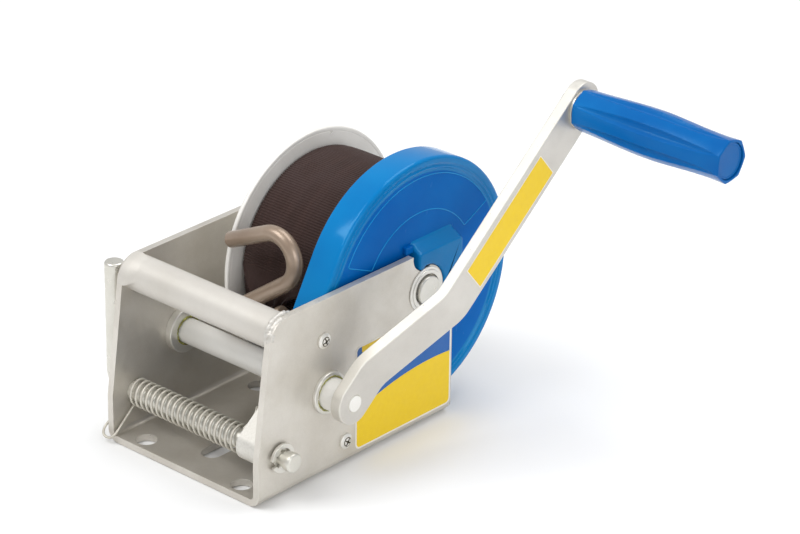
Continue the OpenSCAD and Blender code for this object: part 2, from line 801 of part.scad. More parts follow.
// Loose end of the strap: the last wrap down the front of the roll and the
// sewn loop round the hook's eye leg
module strap_end() {
    u = polar(1, shank_a);
    loop_r = 5.4;
    loop_s = [4.5, 18.5];
    wrap_a = [100, 195];
    color(webbing_brown) {
        translate([webbing_x + 1, axle_y, axle_z]) rotate([0, 90, 0])
            rotate([0, 0, wrap_a[0] + 90]) rotate_extrude(angle = wrap_a[1] - wrap_a[0])
            translate([tail_r, 0]) square([tail_t, webbing_w - 2]);
        difference() {
            hull() {
                on_hook_plane() hook_rod(leg_start + loop_s[0] * u,
                    leg_start + loop_s[1] * u, loop_r, $fn = 24);
                translate([webbing_x + 8, axle_y, axle_z]) rotate([wrap_a[1] - 3, 0, 0])
                    translate([0, tail_r + 0.1, -1]) cube([webbing_w - 16, tail_t - 0.2, 2]);
            }
            on_hook_plane() hook_rod(leg_start, leg_start + 40 * u, hook_r + running_gap);
            bar_x(tail_r, -side_x, side_x, axle_y, axle_z);
        }
    }
}

frame_channel();
cross_tube();
weld_beads();
axle_bush_left();
axle_bush_right();
input_bush_left();
input_bush_right();
gear_cover();
cover_screws();
frame_decal();
strap_end();
drum_axle();
drum_tube();
strap_pin();
drum_spacer();
left_flange();
right_flange();
drum_gear();
gear_rivets();
webbing_roll();
input_shaft();
drive_pinion();
pinion_pin();
crank_arm();
crank_decal();
grip_spindle();
grip_washer();
spindle_nut();
grip_sleeve();
grip_cap();
pawl_rod();
pawl();
pawl_pin();
e_clip();
pawl_spring();
s_hook();
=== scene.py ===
"""Looks for the boat trailer winch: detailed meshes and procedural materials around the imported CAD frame.

Shapes are worked out in millimetres in the frame's own axes (X along the shafts, +Y to the drum end,
+Z up) and turned into metres when a mesh is made. Angles are in degrees, from +Y towards +Z.
"""
import json
import math
import random

import bmesh
import bpy
from mathutils import Matrix, Vector

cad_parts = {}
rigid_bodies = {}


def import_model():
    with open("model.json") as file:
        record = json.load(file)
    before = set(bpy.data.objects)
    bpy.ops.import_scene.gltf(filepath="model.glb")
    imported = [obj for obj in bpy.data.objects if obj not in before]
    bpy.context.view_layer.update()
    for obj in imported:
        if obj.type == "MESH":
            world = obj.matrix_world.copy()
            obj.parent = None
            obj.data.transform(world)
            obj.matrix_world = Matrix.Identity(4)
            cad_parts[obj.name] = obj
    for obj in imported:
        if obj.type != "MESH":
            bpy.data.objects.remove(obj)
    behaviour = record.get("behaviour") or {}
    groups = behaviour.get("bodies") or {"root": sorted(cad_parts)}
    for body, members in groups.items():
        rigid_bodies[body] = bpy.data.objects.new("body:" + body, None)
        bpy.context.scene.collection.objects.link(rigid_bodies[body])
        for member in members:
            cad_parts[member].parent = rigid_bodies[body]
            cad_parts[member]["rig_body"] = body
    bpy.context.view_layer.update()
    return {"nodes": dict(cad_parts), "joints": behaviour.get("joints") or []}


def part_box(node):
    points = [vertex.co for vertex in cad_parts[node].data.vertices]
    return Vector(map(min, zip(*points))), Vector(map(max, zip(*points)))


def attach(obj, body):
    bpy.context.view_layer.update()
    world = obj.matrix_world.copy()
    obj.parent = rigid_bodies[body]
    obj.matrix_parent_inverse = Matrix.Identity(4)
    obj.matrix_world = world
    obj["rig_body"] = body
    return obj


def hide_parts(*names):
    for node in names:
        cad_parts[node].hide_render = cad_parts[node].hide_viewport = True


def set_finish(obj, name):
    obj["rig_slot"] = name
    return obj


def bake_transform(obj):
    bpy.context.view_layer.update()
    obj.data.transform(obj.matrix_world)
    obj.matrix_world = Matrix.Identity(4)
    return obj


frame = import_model()
scene = bpy.context.scene
NODES = frame["nodes"]
JOINTS = {joint["name"]: joint for joint in frame["joints"]}
MM = 0.001
X_AXIS = Vector((1, 0, 0))
random.seed(11)

# --- places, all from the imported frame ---


def sine(angle):
    return math.sin(math.radians(angle))


def cosine(angle):
    return math.cos(math.radians(angle))


def low(node):
    """Least corner of a CAD node's box, in millimetres."""
    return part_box(node)[0] / MM


def high(node):
    """Greatest corner of a CAD node's box, in millimetres."""
    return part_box(node)[1] / MM


def pivot(joint):
    return Vector(JOINTS[joint]["pos_m"]) / MM


AXLE = pivot("drum_spin")
SHAFT = pivot("crank_spin")
GRIP = pivot("grip_spin")
ROD = pivot("pawl_pivot")
EYE = pivot("hook_swing")
SIDE_X = high("frame_channel").x        # outer face of the right plate
IN_X = high("cross_tube").x             # its inner face
FRONT_Y = low("frame_channel").y
TOP_Z = high("cross_tube").z + 0.5      # top edge of the plates
CRANK_TURN = math.degrees(math.atan2(GRIP.z - SHAFT.z, GRIP.y - SHAFT.y))

# --- camera, light and floor ---


def make_camera():
    """A long lens at the photo's angle, solved from the frame's straight edges."""
    azimuth, elevation, roll = 42.007, 25.727, 0.691
    place = Vector((1.04406, -1.06099, 0.81209))
    level = cosine(elevation)
    forward = Vector((-sine(azimuth) * level, cosine(azimuth) * level, -sine(elevation)))
    right = Vector((cosine(azimuth), sine(azimuth), 0))
    up = right.cross(forward)
    tilted_right = cosine(roll) * right + sine(roll) * up
    tilted_up = cosine(roll) * up - sine(roll) * right
    data = bpy.data.cameras.new("camera")
    data.lens = 158.9
    data.sensor_width = 36
    data.shift_x = 0.0132
    data.shift_y = -0.0060
    data.clip_start = 0.05
    data.clip_end = 60
    camera = bpy.data.objects.new("camera", data)
    turn = Matrix((tilted_right, tilted_up, -forward)).transposed().to_4x4()
    camera.matrix_world = Matrix.Translation(place) @ turn
    scene.collection.objects.link(camera)
    scene.camera = camera


def area_light(name, place, aim, size, power):
    data = bpy.data.lights.new(name, "AREA")
    data.shape = "RECTANGLE"
    data.size, data.size_y = size
    data.energy = power
    lamp = bpy.data.objects.new(name, data)
    lamp.location = place
    lamp.rotation_euler = (Vector(aim) - Vector(place)).to_track_quat("-Z", "Y").to_euler()
    scene.collection.objects.link(lamp)


def make_studio():
    """A soft key at the front left, a fill from the crank's side, one lamp above, and a pale surround."""
    area_light("key", (-0.5, -0.9, 1.6), (0, 0, 0.06), (1.05, 1.05), 17)
    area_light("fill", (1.7, -0.5, 0.8), (0, 0, 0.08), (1.0, 0.8), 8)
    area_light("top", (0.1, 0.7, 1.6), (0, 0, 0.08), (1.4, 0.9), 12)
    world = bpy.data.worlds.new("studio")
    scene.world = world
    world.use_nodes = True
    background = world.node_tree.nodes["Background"]
    background.inputs["Color"].default_value = (0.97, 0.98, 1.0, 1)
    background.inputs["Strength"].default_value = 0.62
    scene.view_settings.view_transform = "Standard"


def make_floor():
    size, below = 6.0, -0.0003
    corners = [(x, y, below) for x, y in ((-size, -size), (size, -size), (size, size), (-size, size))]
    mesh = bpy.data.meshes.new("floor")
    mesh.from_pydata(corners, [], [(0, 1, 2, 3)])
    floor = bpy.data.objects.new("floor", mesh)
    scene.collection.objects.link(floor)
    paint = Paint("pale_floor", Roughness=0.8)
    paint.colour(paint.mix(paint.noise(400, 2), (0.86, 0.86, 0.86, 1), (0.9, 0.9, 0.895, 1)))
    mesh.materials.append(paint.material)


# --- materials ---


def srgb(*levels):
    """Linear colour of an 8-bit screen colour."""
    return tuple(((level / 255 + 0.055) / 1.055) ** 2.4 for level in levels) + (1,)


class Paint:
    """One procedural material on a Principled shader, placed by object coordinates."""

    def __init__(self, name, **sockets):
        self.material = bpy.data.materials.new(name)
        self.material.use_nodes = True
        self.tree = self.material.node_tree
        self.shader = self.tree.nodes["Principled BSDF"]
        for socket, value in sockets.items():
            self.shader.inputs[socket.replace("_", " ")].default_value = value
        self.place = self.node("ShaderNodeTexCoord").outputs["Object"]
        self.normal = None

    def node(self, kind, **settings):
        made = self.tree.nodes.new(kind)
        for setting, value in settings.items():
            setattr(made, setting, value)
        return made

    def feed(self, socket, value):
        if isinstance(value, bpy.types.NodeSocket):
            self.tree.links.new(value, socket)
        else:
            socket.default_value = value

    def stretched(self, x, y, z):
        """The place, scaled along each axis, so that noise runs in streaks."""
        made = self.node("ShaderNodeMapping")
        self.feed(made.inputs["Vector"], self.place)
        made.inputs["Scale"].default_value = (x, y, z)
        return made.outputs["Vector"]

    def noise(self, size, detail=3, place=None):
        """Cloudy noise whose blotches are about size millimetres across."""
        made = self.node("ShaderNodeTexNoise")
        self.feed(made.inputs["Vector"], place or self.place)
        made.inputs["Scale"].default_value = 1 / (size * MM)
        made.inputs["Detail"].default_value = detail
        return made.outputs["Fac"]

    def spread(self, value, start, end, to_start=0.0, to_end=1.0):
        """value, from start to end, spread from to_start to to_end and held there beyond."""
        made = self.node("ShaderNodeMapRange")
        for socket, given in zip(made.inputs, (value, start, end, to_start, to_end)):
            self.feed(socket, given)
        return made.outputs["Result"]

    def maths(self, operation, a, b):
        made = self.node("ShaderNodeMath", operation=operation)
        self.feed(made.inputs[0], a)
        self.feed(made.inputs[1], b)
        return made.outputs["Value"]

    def mix(self, factor, a, b):
        made = self.node("ShaderNodeMix", data_type="RGBA")
        for index, value in ((0, factor), (6, a), (7, b)):
            self.feed(made.inputs[index], value)
        return made.outputs[2]

    def colour(self, value):
        self.feed(self.shader.inputs["Base Color"], value)

    def roughness(self, value):
        self.feed(self.shader.inputs["Roughness"], value)

    def bump(self, height, depth):
        """Adds relief of depth millimetres to what is there."""
        made = self.node("ShaderNodeBump")
        made.inputs["Distance"].default_value = depth * MM
        self.feed(made.inputs["Height"], height)
        if self.normal:
            self.feed(made.inputs["Normal"], self.normal)
        self.normal = made.outputs["Normal"]
        self.feed(self.shader.inputs["Normal"], self.normal)

    def specks(self, size, share):
        """1 in sparse specks of about size millimetres; a larger share gives more of them."""
        return self.spread(self.noise(size, 4), 0.74 - share, 0.77 - share)


def zinc(name, light, dark, rough, metallic=0.72, streak=None, speck=0.0):
    """Matte plated steel: cloudy tone, fine crystal grain, optional brushed streaks and dark specks."""
    paint = Paint(name, Metallic=metallic)
    cloud = paint.spread(paint.noise(26, 4), 0.32, 0.68)
    grain = paint.noise(0.7, 3)
    tone = paint.maths("ADD", paint.maths("MULTIPLY", cloud, 0.62), paint.maths("MULTIPLY", grain, 0.38))
    shade = paint.mix(tone, srgb(*dark), srgb(*light))
    if speck:
        shade = paint.mix(paint.specks(1.3, speck), shade, srgb(128, 112, 92))
    paint.colour(shade)
    paint.roughness(paint.spread(paint.noise(3.5, 4), 0.3, 0.7, rough - 0.06, rough + 0.07))
    paint.bump(grain, 0.012)
    paint.bump(paint.noise(5, 3), 0.03)
    if streak:
        paint.bump(paint.noise(1, 3, paint.stretched(*streak)), 0.012)
    return paint.material


def greased_steel():
    """Dark oily gear steel, wiped brighter in random patches."""
    paint = Paint("greased_steel", Metallic=0.85, Coat_Weight=0.3, Coat_Roughness=0.2)
    film = paint.spread(paint.noise(6, 5), 0.35, 0.65)
    paint.colour(paint.mix(film, srgb(120, 112, 92), srgb(172, 168, 158)))
    paint.roughness(paint.spread(film, 0, 1, 0.28, 0.5))
    paint.bump(paint.noise(0.8, 3), 0.02)
    return paint.material


def cast_zinc():
    """Pale die casting with a pebbled skin."""
    paint = Paint("cast_zinc", Metallic=0.55)
    grain = paint.noise(0.9, 4)
    paint.colour(paint.mix(grain, srgb(196, 192, 182), srgb(232, 230, 224)))
    paint.roughness(paint.spread(grain, 0.3, 0.7, 0.42, 0.58))
    paint.bump(grain, 0.05)
    return paint.material


def weld_metal():
    """Galvanised weld bead, brighter on its lumps."""
    paint = Paint("weld_metal", Metallic=0.6)
    lumps = paint.noise(1.4, 5)
    paint.colour(paint.mix(paint.spread(lumps, 0.3, 0.6), srgb(190, 185, 175), srgb(212, 209, 203)))
    paint.roughness(paint.spread(lumps, 0.3, 0.7, 0.42, 0.56))
    paint.bump(lumps, 0.06)
    return paint.material


def hook_metal():
    """Smooth brown-grey lacquer over plating, a little cloudy."""
    paint = Paint("hook_metal", Metallic=0.45, Coat_Weight=0.4, Coat_Roughness=0.16)
    cloud = paint.spread(paint.noise(12, 3), 0.3, 0.7)
    paint.colour(paint.mix(cloud, srgb(148, 128, 110), srgb(164, 145, 127)))
    paint.roughness(paint.spread(paint.noise(2.2, 4), 0.3, 0.7, 0.3, 0.4))
    paint.bump(paint.noise(4, 3), 0.02)
    paint.bump(paint.noise(0.5, 2), 0.004)
    return paint.material


def gloss_plastic(name, colour, deep, rough, wave, gloss):
    """Moulded blue plastic: faint flow clouding, fine scuffs in the gloss and a slight sink wave."""
    paint = Paint(name, IOR=1.5, Specular_IOR_Level=gloss, Specular_Tint=(0.4, 0.85, 1.0, 1.0))
    paint.colour(paint.mix(paint.spread(paint.noise(35, 3), 0.3, 0.7), srgb(*deep), srgb(*colour)))
    scuffs = paint.noise(1, 4, paint.stretched(0.9, 0.35, 0.12))
    paint.roughness(paint.spread(scuffs, 0.45, 0.75, rough, rough + 0.04))
    paint.bump(paint.noise(18, 2), wave)
    paint.bump(paint.noise(0.35, 2), 0.0025)
    return paint.material


def woven_polyester():
    """Dark brown webbing: warp bands along its length, a fine weave across, and a little sheen."""
    warp_pitch, period_at_scale_1 = 0.8 * MM, 0.31
    paint = Paint("woven_polyester", Sheen_Weight=0.12, Sheen_Roughness=0.5, Specular_IOR_Level=0.15)
    bands = paint.noise(1.0, 2, paint.stretched(0.45, 0.004, 0.004))
    patches = paint.spread(paint.noise(14, 4), 0.35, 0.7)
    shade = paint.mix(bands, srgb(38, 23, 18), srgb(66, 46, 41))
    paint.colour(paint.mix(patches, shade, srgb(58, 42, 39)))
    paint.roughness(paint.spread(paint.noise(0.8, 3), 0.3, 0.7, 0.6, 0.8))
    paint.bump(paint.noise(0.42, 2), 0.06)
    warp = paint.node("ShaderNodeTexWave", bands_direction="X")
    paint.feed(warp.inputs["Vector"], paint.place)
    warp.inputs["Scale"].default_value = period_at_scale_1 / warp_pitch
    paint.bump(warp.outputs["Fac"], 0.03)
    return paint.material


def printed_film(name, colour, worn):
    """Label film: even ink with slight mottling, fine scuffs and a soft gloss."""
    paint = Paint(name, IOR=1.46)
    ink = paint.mix(paint.noise(2.5, 4), srgb(*worn), srgb(*colour))
    paint.colour(paint.mix(paint.specks(0.5, 0.0), ink, srgb(236, 230, 205)))
    paint.roughness(paint.spread(paint.noise(4, 4), 0.3, 0.7, 0.34, 0.5))
    paint.bump(paint.noise(9, 3), 0.02)
    return paint.material


def grease():
    """Old yellow-green grease, squeezed out of a bearing."""
    paint = Paint("grease", Coat_Weight=0.6, Coat_Roughness=0.15, Subsurface_Weight=0.2,
                  Subsurface_Scale=0.001)
    cloud = paint.spread(paint.noise(1.6, 4), 0.35, 0.65)
    paint.colour(paint.mix(cloud, srgb(98, 96, 30), srgb(176, 174, 84)))
    paint.roughness(paint.spread(paint.noise(1, 3), 0.3, 0.7, 0.25, 0.4))
    paint.bump(paint.noise(0.8, 3), 0.12)
    return paint.material


# --- mesh helpers ---


def polar(radius, angle):
    """(y, z) at an angle."""
    return Vector((radius * cosine(angle), radius * sine(angle)))


def around(centre, radius, angle, x):
    """Point at x on a circle about the X line through centre."""
    y, z = polar(radius, angle)
    return Vector((x, centre.y + y, centre.z + z))


def count(start, end, steps):
    """steps + 1 even values from start to end."""
    return [start + (end - start) * k / steps for k in range(steps + 1)]


def ease(t):
    """Smooth step from 0 at t = 0 to 1 at t = 1."""
    t = min(max(t, 0.0), 1.0)
    return t * t * (3 - 2 * t)


def rounded(corners, steps=5, closed=True):
    """Points of a flat outline whose (u, v, radius) corners are rounded."""
    points = []
    for i, (u, v, radius) in enumerate(corners):
        here = Vector((u, v))
        if radius <= 0 or (not closed and i in (0, len(corners) - 1)):
            points.append(here)
            continue
        before = Vector(corners[i - 1][:2]) - here
        after = Vector(corners[(i + 1) % len(corners)][:2]) - here
        half = before.angle(after) / 2
        cut = min(radius / math.tan(half), 0.49 * before.length, 0.49 * after.length)
        size = cut * math.tan(half)
        middle = here + (before.normalized() + after.normalized()).normalized() * (size / math.sin(half))
        start = here + before.normalized() * cut - middle
        end = here + after.normalized() * cut - middle
        points += [middle + (start * (1 - t) + end * t).normalized() * size for t in count(0, 1, steps)]
    return points


def skin(rings, ring_closed=True, path_closed=False):
    """Points and faces between successive rings, with flat caps on an open path."""
    size = len(rings[0])
    faces = []
    for i in range(len(rings) - (0 if path_closed else 1)):
        here, there = i * size, (i + 1) % len(rings) * size
        for k in range(size if ring_closed else size - 1):
            after = (k + 1) % size
            faces.append((here + k, here + after, there + after, there + k))
    if not path_closed:
        faces.append(tuple(range(size)))
        faces.append(tuple(range((len(rings) - 1) * size, len(rings) * size)))
    return [point for ring in rings for point in ring], faces


def turned(outline, centre, steps=96):
    """An (x, radius) outline turned about the X line through centre; it is solid if it ends on that line."""
    rings = [[around(centre, radius, 360 * k / steps, x) for x, radius in outline] for k in range(steps)]
    return skin(rings, ring_closed=outline[0][1] > 0, path_closed=True)


def swept(path, radii, sides, side):
    """Round bar along path; side is a direction that the path never runs in."""
    rings = []
    for i, point in enumerate(path):
        ahead = (path[min(i + 1, len(path) - 1)] - path[max(i - 1, 0)]).normalized()
        first = ahead.cross(side).normalized()
        second = ahead.cross(first)
        rings.append([point + radii[i] * (math.cos(math.tau * k / sides) * first
                                          + math.sin(math.tau * k / sides) * second) for k in range(sides)])
    return skin(rings)


def quarter_round(size, steps):
    """(short of the end face, in from the side) along a rounded edge, from the side to the end face."""
    return [(size * (1 - sine(angle)), size * (1 - cosine(angle))) for angle in count(0, 90, steps)]


def round_ends(path, radii, fillet, steps=5):
    """path and its radii, with both end faces rounded off by fillet."""
    first, last = (path[1] - path[0]).normalized(), (path[-2] - path[-1]).normalized()
    turn = quarter_round(fillet, steps)
    start = [(path[0] + first * short, radii[0] - drop) for short, drop in reversed(turn)]
    end = [(path[-1] + last * short, radii[-1] - drop) for short, drop in turn]
    pairs = start + list(zip(path[1:-1], radii[1:-1])) + end
    return [point for point, _ in pairs], [size for _, size in pairs]


def inward(outline, depth):
    """A closed (u, v) outline moved inwards by depth."""
    area = sum(a.x * b.y - b.x * a.y for a, b in zip(outline, outline[1:] + outline[:1]))
    moved = []
    for i, point in enumerate(outline):
        ahead = (outline[(i + 1) % len(outline)] - outline[i - 1]).normalized()
        moved.append(point + Vector((-ahead.y, ahead.x)) * math.copysign(depth, area))
    return moved


def smoothed(points, steps):
    """A curve through points, with steps between each two."""
    curve = []
    for i in range(len(points) - 1):
        a, b = points[max(i - 1, 0)], points[i]
        c, d = points[i + 1], points[min(i + 2, len(points) - 1)]
        for t in count(0, 1, steps)[:-1]:
            curve.append(0.5 * (2 * b + (c - a) * t + (2 * a - 5 * b + 4 * c - d) * t ** 2
                                + (3 * b - a - 3 * c + d) * t ** 3))
    return curve + [points[-1]]


def slab(outline, x0, x1):
    """A (y, z) outline as a plate from x0 to x1."""
    return skin([[Vector((x, y, z)) for y, z in outline] for x in (x0, x1)])


def joined(*shapes):
    """Several (points, faces) as one."""
    points, faces = [], []
    for more_points, more_faces in shapes:
        faces += [tuple(index + len(points) for index in face) for face in more_faces]
        points += more_points
    return points, faces


def placed(name, mesh, finishes, body, slot, replaced):
    """The object for a mesh; it rides on body, if given, and stands for the replaced CAD nodes."""
    for finish in finishes:
        mesh.materials.append(finish)
    piece = bpy.data.objects.new(name, mesh)
    scene.collection.objects.link(piece)
    if body:
        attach(piece, body)
    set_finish(piece, slot)
    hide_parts(*replaced)
    return piece


def new_piece(name, shape, finish, body, slot, replaced=(), crease=35):
    """A piece from (points, faces) in millimetres, smooth but for edges sharper than crease."""
    points, faces = shape
    mesh = bpy.data.meshes.new(name)
    mesh.from_pydata([Vector(point) * MM for point in points], [], faces)
    work = bmesh.new()
    work.from_mesh(mesh)
    bmesh.ops.remove_doubles(work, verts=work.verts, dist=1e-7)
    bmesh.ops.dissolve_degenerate(work, dist=1e-7, edges=work.edges)
    bmesh.ops.recalc_face_normals(work, faces=work.faces)
    work.to_mesh(mesh)
    work.free()
    mesh.shade_smooth()
    mesh.set_sharp_from_angle(angle=math.radians(crease))
    return placed(name, mesh, [finish], body, slot, replaced)


def soften(piece, width, edge_slot=-1):
    """Rounds the sharp edges, keeping the flat faces flat in shading."""
    bevel = piece.modifiers.new("rounded_edges", "BEVEL")
    bevel.width = width * MM
    bevel.segments = 3
    bevel.limit_method = "ANGLE"
    bevel.angle_limit = math.radians(28)
    bevel.material = edge_slot
    piece.modifiers.new("flat_shading", "WEIGHTED_NORMAL").keep_sharp = True
    piece.data.shade_smooth()


def dressed(node, name, width, finish, edge_finish, slot, is_edge=None):
    """A copy of a CAD node, with edge_finish on its rounded edges and the faces that is_edge picks."""
    work = bmesh.new()
    work.from_mesh(NODES[node].data)
    bmesh.ops.remove_doubles(work, verts=work.verts, dist=1e-6)
    bmesh.ops.dissolve_limit(work, angle_limit=math.radians(0.5), verts=work.verts, edges=work.edges)
    for face in work.faces:
        picked = is_edge is not None and is_edge(face.calc_center_median() / MM, face.normal)
        face.material_index = int(picked)
    mesh = bpy.data.meshes.new(name)
    work.to_mesh(mesh)
    work.free()
    piece = placed(name, mesh, [finish, edge_finish], NODES[node]["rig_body"], slot, [node])
    soften(piece, width, 1)


def cut_with(piece, crease, *tools):
    """Cuts (points, faces) tools out of a piece, and marks its edges again."""
    for shape in tools:
        tool = new_piece("cutter", shape, piece.data.materials[0], None, piece["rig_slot"])
        cut = piece.modifiers.new("cut", "BOOLEAN")
        cut.operation, cut.solver, cut.object = "DIFFERENCE", "EXACT", tool
        graph = bpy.context.evaluated_depsgraph_get()
        mesh = bpy.data.meshes.new_from_object(piece.evaluated_get(graph))
        piece.modifiers.clear()
        piece.data = mesh
        bpy.data.objects.remove(tool)
    piece.data.set_sharp_from_angle(angle=math.radians(crease))


def paint_node(node, finish):
    """Gives a CAD node that stays in view its material."""
    for place in NODES[node].material_slots:
        place.material = finish


# --- finishes ---

SHEET = zinc("zinc_sheet", (221, 217, 209), (199, 193, 182), 0.44, streak=(1.6, 0.02, 0.02))
SHEET_EDGE = zinc("zinc_edge", (218, 214, 206), (196, 190, 180), 0.42, metallic=0.7, speck=0.02)
CRANK = zinc("zinc_crank", (216, 212, 205), (198, 194, 186), 0.4)
CRANK_EDGE = zinc("zinc_crank_edge", (224, 221, 213), (208, 204, 195), 0.44, metallic=0.6, speck=0.02)
TUBE = zinc("zinc_tube", (208, 204, 197), (194, 189, 180), 0.52, metallic=0.3)
SHAFT_ZINC = zinc("zinc_shaft", (246, 244, 239), (232, 230, 223), 0.5, metallic=0.15)
BRIGHT = zinc("zinc_bright", (226, 224, 217), (202, 199, 188), 0.32, metallic=0.75)
WORN_BRIGHT = zinc("zinc_bright_edge", (234, 232, 226), (212, 209, 200), 0.34, metallic=0.7, speck=0.01)
# dark zinc for the screws' cross recesses: painted shade, not dirt
RECESS_SHADE = zinc("zinc_recess_shade", (96, 88, 70), (58, 52, 40), 0.6, metallic=0.2)
FLANGE = zinc("zinc_flange", (240, 238, 233), (226, 223, 217), 0.5, metallic=0.2)
WIRE = zinc("zinc_wire", (212, 208, 197), (184, 179, 166), 0.45, metallic=0.45)
GEAR = greased_steel()
CAST = cast_zinc()
WELD = weld_metal()
HOOK = hook_metal()
# the cover is one blue moulding in two copies: the face, tab and bosses darker as painted shade, the rim and
# clip lighter as painted light
COVER = gloss_plastic("cover_plastic", (0, 102, 180), (0, 90, 170), 0.24, 0.02, 0.07)
RIM_LIT_BLUE = gloss_plastic("cover_rim_lit_plastic", (0, 120, 184), (0, 110, 176), 0.1, 0.015, 0.34)
# the raised line's blue is lighter than the cover's: a painted highlight along the ridge
LINE_HIGHLIGHT_BLUE = gloss_plastic("cover_line_highlight_plastic", (26, 142, 206), (14, 128, 196), 0.15, 0.02, 0.3)
GRIP_BLUE = gloss_plastic("grip_plastic", (12, 104, 174), (6, 88, 160), 0.2, 0.02, 0.22)
WEBBING = woven_polyester()
YELLOW = printed_film("yellow_film", (240, 205, 14), (232, 194, 12))
BLUE = printed_film("blue_film", (22, 98, 172), (18, 88, 162))
WHITE = printed_film("white_film", (240, 236, 228), (228, 222, 212))
GREASE = grease()


# --- frame ---

CORNER_R = 12
CORNER = Vector((0, FRONT_Y + 19.88, TOP_Z - CORNER_R))     # of the plates' rounded top front corner


def make_frame():
    """The folded channel, with its cut edges in a finish of their own, and the tube across its front."""
    bend_r, tube_wall = 7.0, 2.6

    def is_cut(place, normal):
        if place.z > bend_r:
            return abs(normal.x) < 0.5
        return abs(normal.y) > 0.5 or (abs(place.x) < IN_X - 3 and abs(normal.z) < 0.5)

    dressed("frame_channel", "folded_frame", 0.45, SHEET, SHEET_EDGE, "zinc_sheet", is_cut)
    centre = (low("cross_tube") + high("cross_tube")) / 2
    radius = high("cross_tube").z - centre.z
    bore = radius - tube_wall
    outline = rounded([(-IN_X, radius, 0), (IN_X, radius, 0), (IN_X, bore, 0), (-IN_X, bore, 0)])
    new_piece("cross_tube_bar", turned(outline, centre), TUBE, "frame", "zinc_sheet", ["cross_tube"])
    make_beads(centre, radius)
    make_dressed_weld(centre, radius)


def lumpy(path, radius, side, sides=14):
    """A bead along path, thinner at its ends: rippled along its length and uneven in size."""
    wander = 0.16
    radii = []
    swing = [random.uniform(-1, 1) for _ in path]
    for i in range(len(path)):
        near = sum(swing[max(i - 2, 0):i + 3]) / 5
        ripple = 0.07 * math.sin(i * 1.5)
        ends = math.sin(math.pi * (i + 0.5) / len(path)) ** 0.25
        radii.append(radius * ends * (1 + 0.34 * near + ripple))
    shifted = [point + Vector((0, random.uniform(-wander, wander), random.uniform(-wander, wander)))
               for point in path]
    return swept(shifted, radii, sides, side)


def make_beads(centre, radius):
    """The right end's weld: a bead round the tube, and a lumpy one over the plate's corner."""
    ring = [around(centre, radius + 0.5, angle, IN_X - 0.4) for angle in count(-70, 285, 84)]
    cap = [around(CORNER, CORNER_R - 1.5, angle, IN_X + 1.4) for angle in count(184, 92, 26)]
    beads = joined(lumpy(ring, 1.3, X_AXIS), lumpy(cap, 2.2, X_AXIS))
    new_piece("tube_welds", beads, WELD, "frame", "zinc_sheet", ["weld_beads"], 80)


def make_dressed_weld(centre, radius):
    """The left end's weld, ground smooth: a shell from the tube's round over the plate's corner."""
    fillet, wall, proud = 1.4, 3.0, 0.3
    start_x, blend_len = IN_X - 7, 6.5
    end_r, end_x = CORNER_R + proud, SIDE_X + proud
    stations = []
    for x in count(start_x, end_x - fillet, 14):
        share = ease((x - start_x) / blend_len)
        stations.append((-x, centre.lerp(CORNER, share), radius + (end_r - radius) * share))
    for short, drop in quarter_round(fillet, 6)[1:]:
        stations.append((short - end_x, CORNER, end_r - drop))
    rings = []
    for x, middle, size in stations:
        outside = [around(middle, size, angle, x) for angle in count(181, 84, 40)]
        inside = [around(middle, size - wall, angle, x) for angle in count(84, 181, 40)]
        rings.append(outside + inside)
    new_piece("tube_end_dressed_weld", skin(rings), TUBE, "frame", "zinc_sheet", crease=60)


def make_bush(node, corners, centre):
    """A bush turned about centre from its (x, radius, fillet) corners; it stands for the CAD node."""
    new_piece(node + "_ring", turned(rounded(corners), centre), WORN_BRIGHT, "frame", "bright_zinc", [node])


def make_axle_bushes():
    """Bushes with a rounded flange and a proud inner sleeve, which has a wide mouth round the axle's end."""
    bore, mouth, body = 7.27, 8.05, 8.8
    flange = high("axle_bush_right").z - AXLE.z
    corners = [(-3.5, bore, 0.1), (-3.5, body, 0.2), (0, body, 0), (0, flange, 0.1), (0.6, flange, 0.3),
               (0.65, 10.1, 0.3), (1.2, 9.9, 0.3), (1.2, mouth, 0.25), (-1.6, mouth, 0), (-1.6, bore, 0)]
    for side, node in ((-1, "axle_bush_left"), (1, "axle_bush_right")):
        make_bush(node, [(side * (SIDE_X + x), radius, fillet) for x, radius, fillet in corners], AXLE)


def make_input_bushes():
    """Bushes outside the right plate and inside the left one, with grease at the shaft."""
    body = 9.5
    end, bore, collar = high("input_bush_right").x, 7.97, 10.6
    make_bush("input_bush_right",
              [(IN_X, bore, 0.1), (IN_X, body, 0.2), (SIDE_X, body, 0), (SIDE_X, collar, 0.2),
               (end - 0.3, collar, 0.7), (end, 9.4, 0.4), (end, 8.6, 0.3), (end - 0.7, bore, 0.1)], SHAFT)
    inner, bore, collar = high("input_bush_left").x, 6.32, 11.5
    make_bush("input_bush_left",
              [(-SIDE_X, bore, 0.1), (-SIDE_X, body, 0.3), (-IN_X, body, 0), (-IN_X, collar, 0.2),
               (inner, collar, 0.6), (inner, 6.9, 0.3), (inner - 0.5, bore, 0.1)], SHAFT)
    for name, x, radius, size in (("grease_outer", end - 0.25, 8.55, 0.62),
                                  ("grease_inner", inner + 0.1, 7.0, 0.6)):
        ring = [around(SHAFT, radius, angle, x + random.uniform(-0.12, 0.12))
                for angle in count(-178, 178, 60)]
        new_piece(name, lumpy(ring, size, X_AXIS, 10), GREASE, "frame", "bright_zinc", crease=80)


# --- gear cover ---

COVER_R = 64.6
COVER_BACK = low("gear_cover").x
FACE_X = 44.1
RIM_START, RIM_END = -136, 151      # angles of the round edge
STRAIGHT_LEN = 43.8                 # straight front edge, which goes on from the round one
SCREWS = [(SHAFT.y - 3.4, SHAFT.z + 28.1), (SHAFT.y + 11.7, SHAFT.z - 30.4)]


def cover_edge(inset):
    """(y, z) points of the rim line at an inset: the round edge, then the straight front edge."""
    centre = Vector((AXLE.y, AXLE.z))
    curve = [centre + polar(COVER_R - inset, angle) for angle in count(RIM_START, RIM_END, 150)]
    return curve + [curve[-1] + polar(STRAIGHT_LEN * t, RIM_END + 90) for t in count(0, 1, 10)[1:]]


